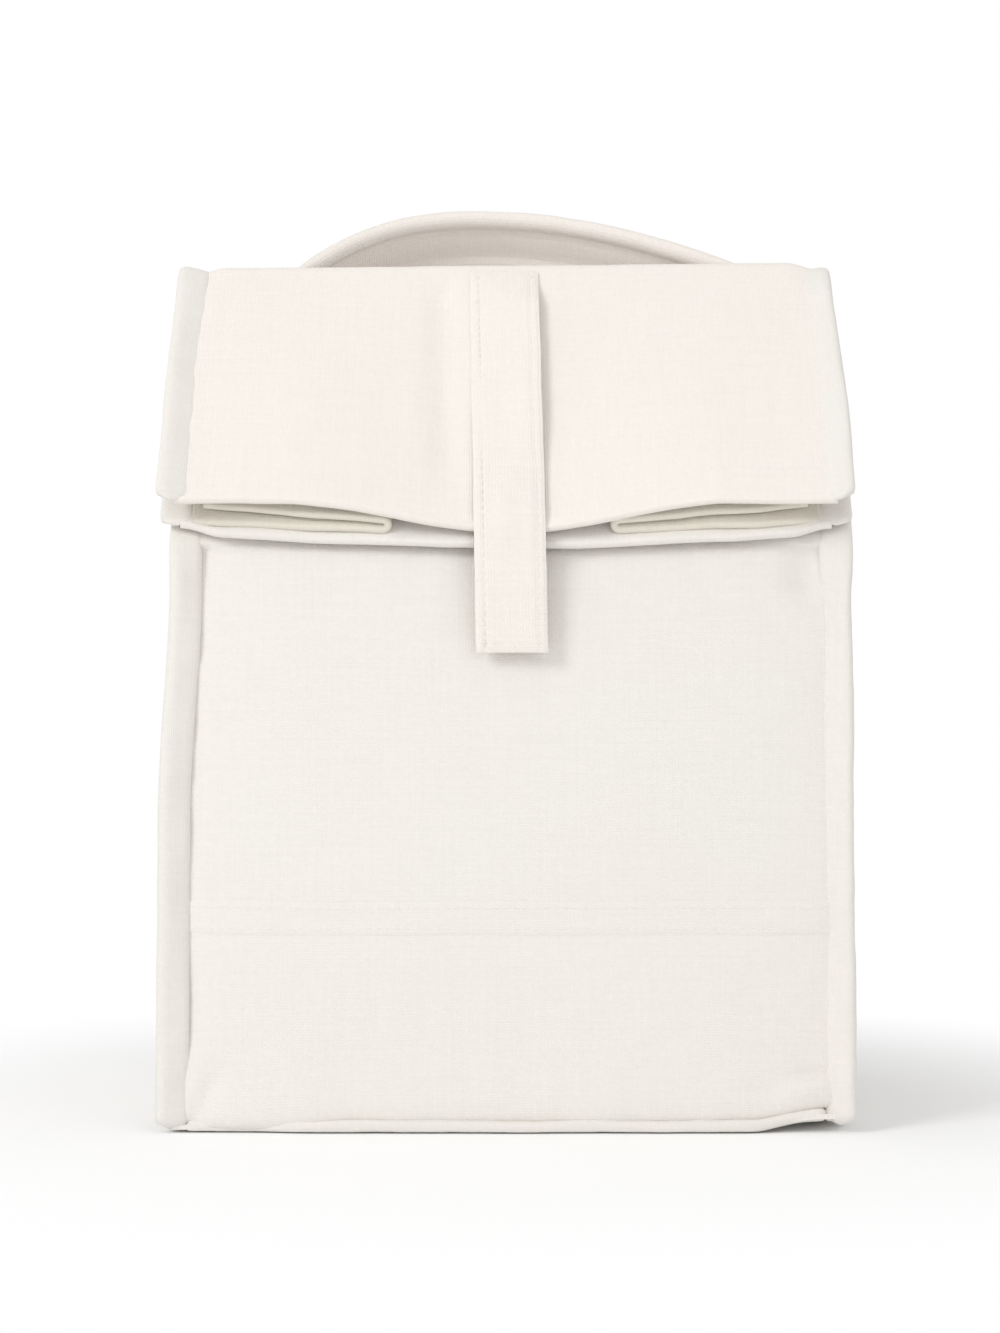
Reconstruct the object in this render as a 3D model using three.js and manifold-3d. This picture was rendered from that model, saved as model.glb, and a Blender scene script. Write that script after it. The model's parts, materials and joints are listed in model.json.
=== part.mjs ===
// Insulated lunch tote of canvas: a padded tub under a gabled neck, with a fold-over mouth.
// Millimetres. +Z is up, the front of the bag faces -Y and the base stands on z = 0.
import * as THREE from 'three';
import { mergeVertices } from 'three/addons/utils/BufferGeometryUtils.js';
import Module from 'manifold-3d';

const wasm = await Module();
wasm.setup();

// Driving dimensions: the whole bag
const BAG_WIDTH = 215;
const BAG_DEPTH = 130;
const RIDGE_HEIGHT = 275;
const RIDGE_SETBACK = 2;
const FRONT_SHOULDER = 182;
const BACK_SHOULDER = 190;
const FLAP_LEAN_DEG = 36;
const FLAP_LENGTH = 103;
const FLAP_UNDERLAP = 3;
const FOLD_DROP = 14;

// Driving dimensions: cloth, padding and seams
const CANVAS = 1.2;
const FOAM = 3;
const LINER = 0.6;
const GUSSET = 3;
const GUSSET_FOLD = 60;
const TAPE = 0.9;
const BINDING_WIDTH = 9.5;
const BINDING_THICK = 7;
const HEM = 3;
const SWELL = 4.4;
const GAP = 0.3;

// Driving dimensions: closing strap, front tape and base
const STRAP_WIDTH = 22.5;
const STRAP_THICK = 2.4;
const STRAP_SEWN = 12;
const STRAP_END = 146;
const PATCH_LENGTH = 20;
const PATCH_THICK = 1.4;
const TAPE_HEIGHT = 65;
const TAPE_WIDTH = 10;
const BASE_THICK = 2.7;
const BOARD = 2;

// Driving dimensions: carrying handle
const HANDLE_WIDTH = 24;
const HANDLE_THICK = 7;
const HANDLE_INSET = 12.5;
const HANDLE_TAIL = 7;
const HANDLE_RISE = 32;
const HANDLE_FREE = 108;
const HANDLE_FROM_RIDGE = 15;

// The side profile, as points [y, z]
const add = (p, d, k) => [p[0] + d[0] * k, p[1] + d[1] * k];
const unit = (a, b) => {
  const length = Math.hypot(b[0] - a[0], b[1] - a[1]);
  return [(b[0] - a[0]) / length, (b[1] - a[1]) / length];
};
const distance = (a, b) => Math.hypot(b[0] - a[0], b[1] - a[1]);
const lean = THREE.MathUtils.degToRad(FLAP_LEAN_DEG);
const flapOut = [-Math.cos(lean), Math.sin(lean)];
const flapUp = [Math.sin(lean), Math.cos(lean)];
const flapDown = [-flapUp[0], -flapUp[1]];
const pleatStack = CANVAS + 5 * GAP + 2 * LINER + 2 * GUSSET;
const flapBinding = CANVAS + 2 * GAP + 2 * TAPE;
const neckFold = flapBinding + 2 * GAP;
const ridge = [-RIDGE_SETBACK, RIDGE_HEIGHT - CANVAS / 2];
const innerFold = add(add(ridge, flapOut, -(pleatStack + neckFold / 2)), flapUp, -FOLD_DROP);
const neckTop = add(innerFold, flapOut, -neckFold / 2);
const frontFoot = [-BAG_DEPTH / 2, 0];
const neckDrop = (neckTop[1] - FRONT_SHOULDER) / flapUp[1];
const frontShoulder = add(neckTop, flapUp, -neckDrop);
const backFoot = [BAG_DEPTH / 2, 0];
const backShoulder = [BAG_DEPTH / 2, BACK_SHOULDER];
const frontUp = unit(frontFoot, frontShoulder);
const frontIn = [frontUp[1], -frontUp[0]];
const frontLength = distance(frontFoot, frontShoulder);
const roofUp = unit(backShoulder, ridge);
const roofOut = [roofUp[1], -roofUp[0]];
const roofLength = distance(backShoulder, ridge);

// Layers of the padded walls, counted inwards from the middle of the canvas
const halfCanvas = CANVAS / 2;
const foamStart = halfCanvas + GAP;
const foamEnd = foamStart + FOAM;
const linerStart = foamEnd + GAP;
const linerEnd = linerStart + LINER;
const thinLinerEnd = foamStart + LINER;

// Widths, counted outwards from the middle plane of the bag
const edge = BAG_WIDTH / 2;
const bindingIn = edge - BINDING_WIDTH;
const side = bindingIn - GAP - CANVAS / 2;
const seamEdge = edge - TAPE - GAP;
const foamHalf = side - foamStart;
const linerHalf = side - linerStart;
const baseTop = BASE_THICK + GAP;
const handleFoot = edge - HANDLE_INSET;
const handleSpan = 2 * (handleFoot - HANDLE_TAIL);

// Materials
const cloth = (colour, roughness) =>
  new THREE.MeshStandardMaterial({ color: colour, roughness, metalness: 0 });
const canvas = cloth('#efe6d8', 0.92);
const binding = cloth('#ebe1d2', 0.9);
const lining = cloth('#c9cdd0', 0.45);
const padding = cloth('#f4f4f0', 0.8);
const board = cloth('#d6d3cb', 0.7);
const webbing = cloth('#ece2d3', 0.9);
const hookTape = cloth('#e6dece', 0.95);

// A closed outline in the plane of y and z, drawn out along x
function profileX(points, x0, x1) {
  const shape = new THREE.Shape(points.map(([y, z]) => new THREE.Vector2(y, z)));
  const geometry = new THREE.ExtrudeGeometry(shape, { depth: x1 - x0, bevelEnabled: false });
  const turn = new THREE.Matrix4().set(0, 0, 1, x0, 1, 0, 0, 0, 0, 1, 0, 0, 0, 0, 0, 1);
  return geometry.applyMatrix4(turn);
}

// A closed outline in the plane of x and z, drawn out along y
function profileY(points, y0, y1) {
  const shape = new THREE.Shape(points.map(([x, z]) => new THREE.Vector2(x, z)));
  const geometry = new THREE.ExtrudeGeometry(shape, { depth: y1 - y0, bevelEnabled: false });
  const turn = new THREE.Matrix4().set(1, 0, 0, 0, 0, 0, -1, y1, 0, 1, 0, 0, 0, 0, 0, 1);
  return geometry.applyMatrix4(turn);
}

// A plain block between two corners
function block(x0, x1, y0, y1, z0, z1) {
  const geometry = new THREE.BoxGeometry(x1 - x0, y1 - y0, z1 - z0);
  return geometry.translate((x0 + x1) / 2, (y0 + y1) / 2, (z0 + z1) / 2);
}

// A strip that lies beside the line from a along a direction, between two distances from it
function strip(origin, along, from, to, n0, n1) {
  const normal = [along[1], -along[0]];
  const at = (s, n) => add(add(origin, along, s), normal, n);
  return [at(from, n0), at(to, n0), at(to, n1), at(from, n1)];
}

// The U outline of a folded tape that opens towards -a, between b0 and b1
function tapeOutline(inner, outer, b0, b1) {
  const round = TAPE;
  const lip = outer - TAPE;
  return [
    [inner, b0],
    [outer - round, b0],
    [outer, b0 + round],
    [outer, b1 - round],
    [outer - round, b1],
    [inner, b1],
    [inner, b1 - TAPE],
    [lip, b1 - TAPE],
    [lip, b0 + TAPE],
    [inner, b0 + TAPE],
  ];
}

// A folded tape that runs along z, round the edge of a sheet on one side of the bag
function edgeTape(sign, b0, b1, z0, z1) {
  const outline = tapeOutline(bindingIn, edge, b0, b1);
  const shape = new THREE.Shape(outline.map(([x, y]) => new THREE.Vector2(sign * x, y)));
  const geometry = new THREE.ExtrudeGeometry(shape, { depth: z1 - z0, bevelEnabled: false });
  return geometry.translate(0, 0, z0);
}

// A sheet that starts at z = 0 with a half-round end, the turning line of a fold
function foldSheet(halfWidth, middle, thick, length) {
  const points = [];
  const r = thick / 2;
  for (let i = 0; i <= 8; i += 1) {
    const a = Math.PI * (i / 8);
    points.push([middle + r * Math.cos(a), -r * Math.sin(a)]);
  }
  points.push([middle - r, length], [middle + r, length]);
  return profileX(points, -halfWidth, halfWidth);
}

// A thin closed skin of even thickness round a grid of points [x, y, z]
function skin(rows, thick) {
  const m = rows.length;
  const n = rows[0].length;
  const v = (i, j) => new THREE.Vector3(...rows[Math.min(Math.max(i, 0), m - 1)][
    Math.min(Math.max(j, 0), n - 1)]);
  const position = [];
  for (const half of [-thick / 2, thick / 2]) {
    for (let i = 0; i < m; i += 1) {
      for (let j = 0; j < n; j += 1) {
        const du = v(i + 1, j).sub(v(i - 1, j));
        const dv = v(i, j + 1).sub(v(i, j - 1));
        const p = v(i, j).add(du.cross(dv).normalize().multiplyScalar(half));
        position.push(p.x, p.y, p.z);
      }
    }
  }
  const at = (k, i, j) => k * m * n + i * n + j;
  const index = [];
  const quad = (a, b, c, d) => index.push(a, b, c, a, c, d);
  for (let i = 0; i < m - 1; i += 1) {
    for (let j = 0; j < n - 1; j += 1) {
      quad(at(1, i, j), at(1, i + 1, j), at(1, i + 1, j + 1), at(1, i, j + 1));
      quad(at(0, i, j), at(0, i, j + 1), at(0, i + 1, j + 1), at(0, i + 1, j));
    }
  }
  for (let i = 0; i < m - 1; i += 1) {
    quad(at(0, i, 0), at(0, i + 1, 0), at(1, i + 1, 0), at(1, i, 0));
    quad(at(0, i + 1, n - 1), at(0, i, n - 1), at(1, i, n - 1), at(1, i + 1, n - 1));
  }
  for (let j = 0; j < n - 1; j += 1) {
    quad(at(0, 0, j + 1), at(0, 0, j), at(1, 0, j), at(1, 0, j + 1));
    quad(at(0, m - 1, j), at(0, m - 1, j + 1), at(1, m - 1, j + 1), at(1, m - 1, j));
  }
  const geometry = new THREE.BufferGeometry();
  geometry.setAttribute('position', new THREE.Float32BufferAttribute(position, 3));
  geometry.setIndex(index);
  geometry.computeVertexNormals();
  return geometry;
}

// A closed plate over a grid of x and z, between two faces given as y at x and z
function plate(xs, zs, y0, y1) {
  const m = zs.length;
  const n = xs.length;
  const position = [y0, y1].flatMap((face) => zs.flatMap((z) => xs.map((x) => [x, face(x, z), z])));
  const at = (k, i, j) => k * m * n + i * n + j;
  const index = [];
  const quad = (a, b, c, d) => index.push(a, b, c, a, c, d);
  for (let i = 0; i < m - 1; i += 1) {
    for (let j = 0; j < n - 1; j += 1) {
      quad(at(0, i, j), at(0, i, j + 1), at(0, i + 1, j + 1), at(0, i + 1, j));
      quad(at(1, i, j), at(1, i + 1, j), at(1, i + 1, j + 1), at(1, i, j + 1));
    }
    quad(at(0, i, 0), at(0, i + 1, 0), at(1, i + 1, 0), at(1, i, 0));
    quad(at(0, i + 1, n - 1), at(0, i, n - 1), at(1, i, n - 1), at(1, i + 1, n - 1));
  }
  for (let j = 0; j < n - 1; j += 1) {
    quad(at(0, 0, j + 1), at(0, 0, j), at(1, 0, j), at(1, 0, j + 1));
    quad(at(0, m - 1, j), at(0, m - 1, j + 1), at(1, m - 1, j + 1), at(1, m - 1, j));
  }
  const geometry = new THREE.BufferGeometry();
  geometry.setAttribute('position', new THREE.Float32BufferAttribute(position.flat(), 3));
  geometry.setIndex(index);
  geometry.computeVertexNormals();
  return geometry;
}

// Several geometries joined into one closed body
function fuse(...geometries) {
  const solids = geometries.map((geometry) => {
    const plain = new THREE.BufferGeometry();
    const source = geometry.index ? geometry.toNonIndexed() : geometry;
    plain.setAttribute('position', source.getAttribute('position'));
    const merged = mergeVertices(plain, 1e-4);
    return new wasm.Manifold(new wasm.Mesh({
      numProp: 3,
      vertProperties: merged.getAttribute('position').array,
      triVerts: new Uint32Array(merged.index.array),
    }));
  });
  const mesh = wasm.Manifold.union(solids).getMesh();
  const joined = new THREE.BufferGeometry();
  joined.setAttribute('position', new THREE.BufferAttribute(mesh.vertProperties, 3));
  joined.setIndex(new THREE.BufferAttribute(mesh.triVerts, 1));
  joined.computeVertexNormals();
  return joined;
}

// A frame whose z runs along a direction of the side profile and whose y stands off it
function frameAlong(origin, along) {
  const frame = new THREE.Group();
  frame.position.set(0, origin[0], origin[1]);
  frame.rotation.x = Math.atan2(-along[0], along[1]);
  return frame;
}

function piece(parent, name, geometry, material) {
  const mesh = new THREE.Mesh(geometry, material.clone());
  mesh.name = name;
  parent.add(mesh);
  return mesh;
}

const group = new THREE.Group();
group.name = 'insulated_lunch_tote';
const sides = [['left', -1], ['right', 1]];
const span = (sign, a, b) => (sign < 0 ? [-b, -a] : [a, b]);

// The swell of a padded wall: full in the middle, nothing at the seams
const swellHalf = bindingIn - GAP;
const swellAcross = (x) => {
  const k = Math.min(1, Math.abs(x) / swellHalf);
  return SWELL * (0.6 * (1 - k ** 7) + 0.4 * (1 - k ** 2));
};
const swellColumns = (half) => {
  const right = [0.45, 0.75, 0.93].map((k) => k * swellHalf);
  if (half > swellHalf) right.push(swellHalf);
  right.push(half);
  return [...right.map((x) => -x).reverse(), 0, ...right];
};
const swellLow = 2 * GAP + BINDING_THICK + CANVAS;
const swellRows = (from, full, end, to) => {
  const middle = [swellLow, swellLow + 5, swellLow + 14, full, end];
  return [from, ...middle.filter((z) => z > from && z < to), to];
};
const swellUp = (z, full, end) => {
  const step = THREE.MathUtils.smoothstep;
  return step(z, swellLow, swellLow + 14) * (1 - step(z, full, end));
};

// Front wall: canvas, foam and liner, with its edge tapes
const front = frameAlong(frontFoot, frontUp);
group.add(front);
const wallStart = baseTop + GAP;
const patchStart = STRAP_END + 2;
const frontFull = patchStart + PATCH_LENGTH + 1;
const frontEnd = frontLength - FOAM;
const frontSwell = (x, z) => swellAcross(x) * swellUp(z, frontFull, frontEnd);
piece(front, 'front_panel', plate(swellColumns(seamEdge),
  swellRows(wallStart, frontFull, frontEnd, frontLength - GAP),
  (x, z) => -halfCanvas - frontSwell(x, z), (x, z) => halfCanvas - frontSwell(x, z)), canvas);
piece(front, 'foam_front', plate(swellColumns(foamHalf),
  swellRows(wallStart + 2 * GAP, frontFull, frontEnd, frontEnd),
  (x, z) => foamStart - frontSwell(x, z), () => foamEnd), padding);
piece(front, 'liner_front', block(-linerHalf, linerHalf, linerStart, linerEnd,
  wallStart + 2 * GAP, frontLength - FOAM), lining);
const seamMiddle = (halfCanvas + GAP + CANVAS - halfCanvas) / 2;
for (const [name, sign] of sides) {
  piece(front, `front_${name}_binding`, edgeTape(sign, seamMiddle - BINDING_THICK / 2,
    seamMiddle + BINDING_THICK / 2, 2 * GAP, frontLength - BINDING_THICK / 2), binding);
}

// Front tape and the loop patch that the strap closes on
const tapeHalf = bindingIn - 2 * GAP;
const canvasFace = -halfCanvas - GAP;
const tapeEnds = [TAPE_HEIGHT - TAPE_WIDTH / 2, TAPE_HEIGHT + TAPE_WIDTH / 2];
piece(front, 'crease_tape', plate(swellColumns(tapeHalf), tapeEnds,
  (x, z) => canvasFace - TAPE - frontSwell(x, z), (x, z) => canvasFace - frontSwell(x, z)), binding);
const patchHalf = STRAP_WIDTH / 2 - 1.5;
const loopFace = canvasFace - SWELL;
piece(front, 'loop_patch', block(-patchHalf, patchHalf, loopFace - PATCH_THICK, loopFace,
  patchStart, patchStart + PATCH_LENGTH), hookTape);

// Back wall
const back = frameAlong(backFoot, [0, 1]);
group.add(back);
const backFull = 0.8 * BACK_SHOULDER;
const backEnd = BACK_SHOULDER - 2 * FOAM;
const backSwell = (x, z) => swellAcross(x) * swellUp(z, backFull, backEnd);
piece(back, 'back_panel', plate(swellColumns(seamEdge),
  swellRows(wallStart, backFull, backEnd, BACK_SHOULDER - halfCanvas - GAP),
  (x, z) => -halfCanvas + backSwell(x, z), (x, z) => halfCanvas + backSwell(x, z)), canvas);
piece(back, 'foam_back', plate(swellColumns(foamHalf),
  swellRows(wallStart, backFull, backEnd, BACK_SHOULDER - FOAM),
  () => -foamEnd, (x, z) => -foamStart + backSwell(x, z)), padding);
piece(back, 'liner_back', block(-linerHalf, linerHalf, -linerEnd, -linerStart, wallStart,
  BACK_SHOULDER - FOAM), lining);
for (const [name, sign] of sides) {
  piece(back, `back_${name}_binding`, edgeTape(sign, -seamMiddle - BINDING_THICK / 2,
    -seamMiddle + BINDING_THICK / 2, 2 * GAP, BACK_SHOULDER - BINDING_THICK / 2), binding);
}

// Side walls, each cut to the lean of the front, with seam allowances inside the edge tapes
const slopeTop = (y, drop) => {
  const t = (y - frontShoulder[0]) / (backShoulder[0] - frontShoulder[0]);
  return FRONT_SHOULDER + t * (BACK_SHOULDER - FRONT_SHOULDER) - drop;
};
function sideOutline(inset, bottom, drop) {
  const frontLine = (z) => {
    const foot = add(frontFoot, frontIn, inset);
    return foot[0] + ((z - foot[1]) * frontUp[0]) / frontUp[1];
  };
  const yBack = BAG_DEPTH / 2 - inset;
  const yFront = frontLine(FRONT_SHOULDER - drop);
  return [
    [frontLine(bottom), bottom],
    [yBack, bottom],
    [yBack, slopeTop(yBack, drop)],
    [yFront, slopeTop(yFront, drop)],
  ];
}
for (const [name, sign] of sides) {
  const flange = [foamStart, foamStart + CANVAS];
  const frontFlange = strip(frontFoot, frontUp, wallStart, frontLength - 4, ...flange);
  const backFlange = strip(backFoot, [0, 1], wallStart, BACK_SHOULDER - 4, -flange[1], -flange[0]);
  piece(group, `${name}_side_panel`, fuse(
    profileX(sideOutline(foamStart, baseTop, 2), ...span(sign, side - halfCanvas, side + halfCanvas)),
    profileX(frontFlange, ...span(sign, side - halfCanvas, seamEdge)),
    profileX(backFlange, ...span(sign, side - halfCanvas, seamEdge)),
  ), canvas);
  piece(group, `foam_${name}`, profileX(sideOutline(linerStart, baseTop, 4),
    ...span(sign, side - foamEnd, side - foamStart)), padding);
  piece(group, `liner_${name}`, profileX(sideOutline(linerEnd + GAP, baseTop, 4),
    ...span(sign, side - linerEnd, side - linerStart)), lining);
}

// Base: doubled canvas with a thin seam allowance, stiffening board, foam and liner
const flangeLow = BASE_THICK - CANVAS;
const tapeFront = BAG_DEPTH / 2 + halfCanvas + GAP;
const baseOut = tapeFront + BINDING_WIDTH - TAPE - GAP;
const baseIn = BAG_DEPTH / 2 - BINDING_THICK - GAP;
const baseSide = bindingIn - 2 * GAP;
piece(group, 'base_panel', fuse(
  block(-baseSide, baseSide, -BAG_DEPTH / 2, BAG_DEPTH / 2, 0, BASE_THICK),
  block(-baseSide, baseSide, -baseOut, baseOut, flangeLow, BASE_THICK),
  block(-seamEdge, seamEdge, -baseIn, baseIn, flangeLow, BASE_THICK),
), canvas);
const innerHalf = side - linerEnd - GAP;
const innerBack = BAG_DEPTH / 2 - linerEnd - GAP;
const innerFront = -innerBack + 4 * GAP;
const boardTop = baseTop + BOARD;
const foamBaseTop = boardTop + GAP + FOAM;
piece(group, 'base_board', block(-innerHalf, innerHalf, innerFront, innerBack, baseTop,
  boardTop), board);
piece(group, 'foam_base', block(-innerHalf, innerHalf, innerFront, innerBack, boardTop + GAP,
  foamBaseTop), padding);
piece(group, 'liner_base', block(-innerHalf, innerHalf, innerFront, innerBack,
  foamBaseTop + GAP, foamBaseTop + GAP + LINER), lining);
const lowTape = [GAP, GAP + BINDING_THICK];
const frontBase = tapeOutline(tapeFront, tapeFront + BINDING_WIDTH, ...lowTape);
const sideBase = tapeOutline(bindingIn, edge, ...lowTape);
piece(group, 'base_front_binding', profileX(frontBase.map(([y, z]) => [-y, z]), -baseSide,
  baseSide), binding);
piece(group, 'base_back_binding', profileX(frontBase, -baseSide, baseSide), binding);
for (const [name, sign] of sides) {
  piece(group, `base_${name}_binding`, profileY(sideBase.map(([x, z]) => [sign * x, z]),
    -baseIn, baseIn), binding);
}

// Front of the neck, leaning back from the shoulder to the inner fold
const neck = frameAlong(frontShoulder, flapUp);
group.add(neck);
const neckLength = neckDrop - 1;
piece(neck, 'front_neck_panel', block(-seamEdge, seamEdge, -halfCanvas, halfCanvas, 2 * GAP,
  neckLength), canvas);
piece(neck, 'front_neck_liner', block(-linerHalf, linerHalf, foamStart, thinLinerEnd, FOAM,
  neckLength), lining);
for (const [name, sign] of sides) {
  piece(neck, `front_neck_${name}_binding`, edgeTape(sign, -flapBinding / 2, flapBinding / 2,
    flapBinding / 2, neckLength - flapBinding / 2), binding);
}

// Roof of the neck, hinged on the back shoulder
const roof = frameAlong(backShoulder, roofUp);
group.add(roof);
const roofEnd = roofLength - halfCanvas - GAP;
piece(roof, 'rear_neck_panel', foldSheet(seamEdge, 0, CANVAS, roofEnd), canvas);
piece(roof, 'rear_neck_liner', block(-linerHalf, linerHalf, -thinLinerEnd, -foamStart, 5,
  roofLength - 4), lining);
for (const [name, sign] of sides) {
  piece(roof, `rear_neck_${name}_binding`, edgeTape(sign, -flapBinding / 2, flapBinding / 2, 4,
    roofLength - flapBinding), binding);
}

// Neck gussets: the side cloth between front and roof, creased inwards towards the ridge
const gussetClear = thinLinerEnd + GAP + GUSSET / 6;
function gussetRows(sign) {
  const rows = [];
  for (const t of [0.05, 0.32, 0.59, 0.86]) {
    const a = add(add(frontShoulder, flapUp, t * neckDrop), flapOut, -gussetClear);
    const b = add(add(backShoulder, roofUp, 0.7 * t * roofLength), roofOut, -gussetClear);
    const depth = ((GUSSET_FOLD - 4) * (t - 0.05)) / 0.81;
    rows.push([0, 0.25, 0.5, 0.75, 1].map((k) => {
      const inwards = depth * (1 - Math.abs(2 * k - 1));
      const x = side - halfCanvas - GUSSET / 2 - inwards;
      return [sign * x, a[0] + (b[0] - a[0]) * k, a[1] + (b[1] - a[1]) * k];
    }));
  }
  return sign > 0 ? rows.map((row) => row.reverse()) : rows;
}
for (const [name, sign] of sides) {
  piece(group, `${name}_neck_gusset`, skin(gussetRows(sign), GUSSET / 2), canvas);
}

// Carrying handle: one padded strap, its feet sewn on the roof
const handle = new THREE.Group();
handle.position.set(0, halfCanvas + GAP, roofLength - HANDLE_FROM_RIDGE);
roof.add(handle);
const handleLine = (x) => {
  const k = Math.max(0, 1 - (2 * x / handleSpan) ** 2);
  return HANDLE_THICK / 2 + HANDLE_RISE * k ** 1.25;
};
const roundSection = (width, thick) => {
  const points = [];
  const r = thick / 2;
  const flat = width / 2 - r;
  for (let i = 0; i <= 6; i += 1) {
    const a = -Math.PI / 2 + (Math.PI * i) / 6;
    points.push([r * Math.sin(a), flat + r * Math.cos(a)]);
  }
  return [...points, ...points.map(([b, w]) => [-b, -w])].reverse();
};
function sweep(x0, x1, count, section, bore) {
  const rings = [];
  for (let i = 0; i <= count; i += 1) {
    const x = x0 + ((x1 - x0) * i) / count;
    const lift = handleLine(x);
    rings.push((outline) => outline.map(([b, w]) => [x, lift + b, w]));
  }
  const n = section.length;
  const m = rings.length;
  const position = rings.flatMap((ring) => ring(section)).flat();
  const index = [];
  const quad = (a, b, c, d) => index.push(a, b, c, a, c, d);
  const wall = (offset, flip) => {
    for (let i = 0; i < m - 1; i += 1) {
      for (let j = 0; j < n; j += 1) {
        const k = (j + 1) % n;
        const p = [offset + i * n + j, offset + i * n + k, offset + (i + 1) * n + k,
          offset + (i + 1) * n + j];
        quad(...(flip ? p.reverse() : p));
      }
    }
  };
  wall(0, false);
  if (bore) {
    position.push(...rings.flatMap((ring) => ring(bore)).flat());
    const inner = m * n;
    const last = (m - 1) * n;
    wall(inner, true);
    for (let j = 0; j < n; j += 1) {
      const k = (j + 1) % n;
      quad(j, inner + j, inner + k, k);
      quad(last + j, last + k, inner + last + k, inner + last + j);
    }
  } else {
    for (let j = 1; j < n - 1; j += 1) {
      index.push(0, j + 1, j);
      index.push((m - 1) * n, (m - 1) * n + j, (m - 1) * n + j + 1);
    }
  }
  const geometry = new THREE.BufferGeometry();
  geometry.setAttribute('position', new THREE.Float32BufferAttribute(position, 3));
  geometry.setIndex(index);
  geometry.computeVertexNormals();
  return geometry;
}
const coverSection = roundSection(HANDLE_WIDTH, HANDLE_THICK);
const boreSection = roundSection(HANDLE_WIDTH - 2 * CANVAS, HANDLE_THICK - 2 * CANVAS);
const coreSection = roundSection(HANDLE_WIDTH - 2 * CANVAS - 2 * GAP,
  HANDLE_THICK - 2 * CANVAS - 2 * GAP);
const free = HANDLE_FREE / 2;
piece(handle, 'handle_cover', sweep(-free, free, 24, coverSection, boreSection), webbing);
piece(handle, 'handle_core', sweep(-free + GAP, free - GAP, 24, coreSection), padding);
for (const [name, sign] of sides) {
  const ends = sign < 0 ? [-handleFoot, -free - 2 * GAP] : [free + 2 * GAP, handleFoot];
  piece(handle, `handle_${name}_foot`, sweep(...ends, 10, coverSection), webbing);
}

// Rear leaf of the flap, hinged on the ridge
const rearFlap = frameAlong(ridge, flapDown);
group.add(rearFlap);
piece(rearFlap, 'rear_flap_panel', foldSheet(seamEdge, 0, CANVAS, FLAP_LENGTH), canvas);
piece(rearFlap, 'rear_flap_liner', block(-linerHalf, linerHalf, -thinLinerEnd, -foamStart, 4,
  FLAP_LENGTH), lining);
piece(rearFlap, 'rear_rim_hem', block(-seamEdge, seamEdge, -thinLinerEnd, halfCanvas,
  FLAP_LENGTH + GAP, FLAP_LENGTH + GAP + HEM), binding);
for (const [name, sign] of sides) {
  piece(rearFlap, `rear_flap_${name}_binding`, edgeTape(sign, -flapBinding / 2, flapBinding / 2,
    4, FLAP_LENGTH - GAP), binding);
}

// Front leaf of the flap, hinged on the inner fold
const frontFlap = frameAlong(innerFold, flapDown);
group.add(frontFlap);
const leaf = neckFold / 2;
const leafStart = 1;
const leafLength = FLAP_LENGTH - FOLD_DROP + FLAP_UNDERLAP;
piece(frontFlap, 'front_flap_panel', block(-seamEdge, seamEdge, leaf - halfCanvas,
  leaf + halfCanvas, leafStart, leafLength), canvas);
piece(frontFlap, 'front_flap_liner', block(-linerHalf, linerHalf, leaf + foamStart,
  leaf + thinLinerEnd, leafStart, leafLength), lining);
piece(frontFlap, 'front_rim_hem', block(-seamEdge, seamEdge, leaf - halfCanvas,
  leaf + thinLinerEnd, leafLength + GAP, leafLength + GAP + HEM), binding);
for (const [name, sign] of sides) {
  piece(frontFlap, `front_flap_${name}_binding`, edgeTape(sign, leaf - flapBinding / 2,
    leaf + flapBinding / 2, leafStart + flapBinding / 2, leafLength - GAP), binding);
}

// Flap gussets: the folded side cloth between the two leaves
const pleat = thinLinerEnd + GAP;
for (const [name, sign] of sides) {
  const across = span(sign, side - GUSSET_FOLD, side - halfCanvas);
  piece(frontFlap, `${name}_front_gusset`, block(...across, leaf + pleat, leaf + pleat + GUSSET,
    5, leafLength - 1), canvas);
  piece(rearFlap, `${name}_rear_gusset`, block(...across, -pleat - GUSSET, -pleat,
    FOLD_DROP + 5, FLAP_LENGTH - 1), canvas);
}

// Closing strap: sewn under the ridge, laid over the flap and pressed on the front wall
const strapHalf = STRAP_WIDTH / 2;
const strapLift = halfCanvas + GAP + STRAP_THICK / 2;
const sewnEnd = 2.5 + STRAP_SEWN;
piece(rearFlap, 'strap_anchor', block(-strapHalf, strapHalf, strapLift - STRAP_THICK / 2,
  strapLift + STRAP_THICK / 2, 2.5, sewnEnd), webbing);
const strapTurn = sewnEnd + GAP + STRAP_THICK / 2;
const strapLine = add(ridge, flapOut, strapLift);
const patchLift = loopFace - 2 * PATCH_THICK - 2 * GAP - STRAP_THICK / 2;
const wallPoint = (s) => add(add(frontFoot, frontUp, s), frontIn, patchLift);
const strapPath = [
  add(strapLine, flapDown, strapTurn),
  add(strapLine, flapDown, FLAP_LENGTH + HEM + 2),
  wallPoint(patchStart + PATCH_LENGTH + 1),
  wallPoint(STRAP_END),
];
function ribbon(path, thick) {
  const left = [];
  const right = [];
  path.forEach((p, i) => {
    const before = unit(path[Math.max(i - 1, 0)], path[Math.max(i, 1)]);
    const after = unit(path[Math.min(i, path.length - 2)], path[Math.min(i + 1, path.length - 1)]);
    const bisector = unit([0, 0], [before[1] + after[1], -before[0] - after[0]]);
    const mitre = thick / 2 / (bisector[0] * before[1] - bisector[1] * before[0]);
    left.push(add(p, bisector, mitre));
    right.unshift(add(p, bisector, -mitre));
  });
  const first = unit(path[0], path[1]);
  const cap = [];
  for (let i = 1; i < 8; i += 1) {
    const a = (Math.PI * i) / 8;
    const normal = [first[1], -first[0]];
    const offset = add(add([0, 0], normal, -Math.cos(a) * (thick / 2)), first,
      -Math.sin(a) * (thick / 2));
    cap.push(add(path[0], offset, 1));
  }
  return [...left, ...right, ...cap];
}
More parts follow.
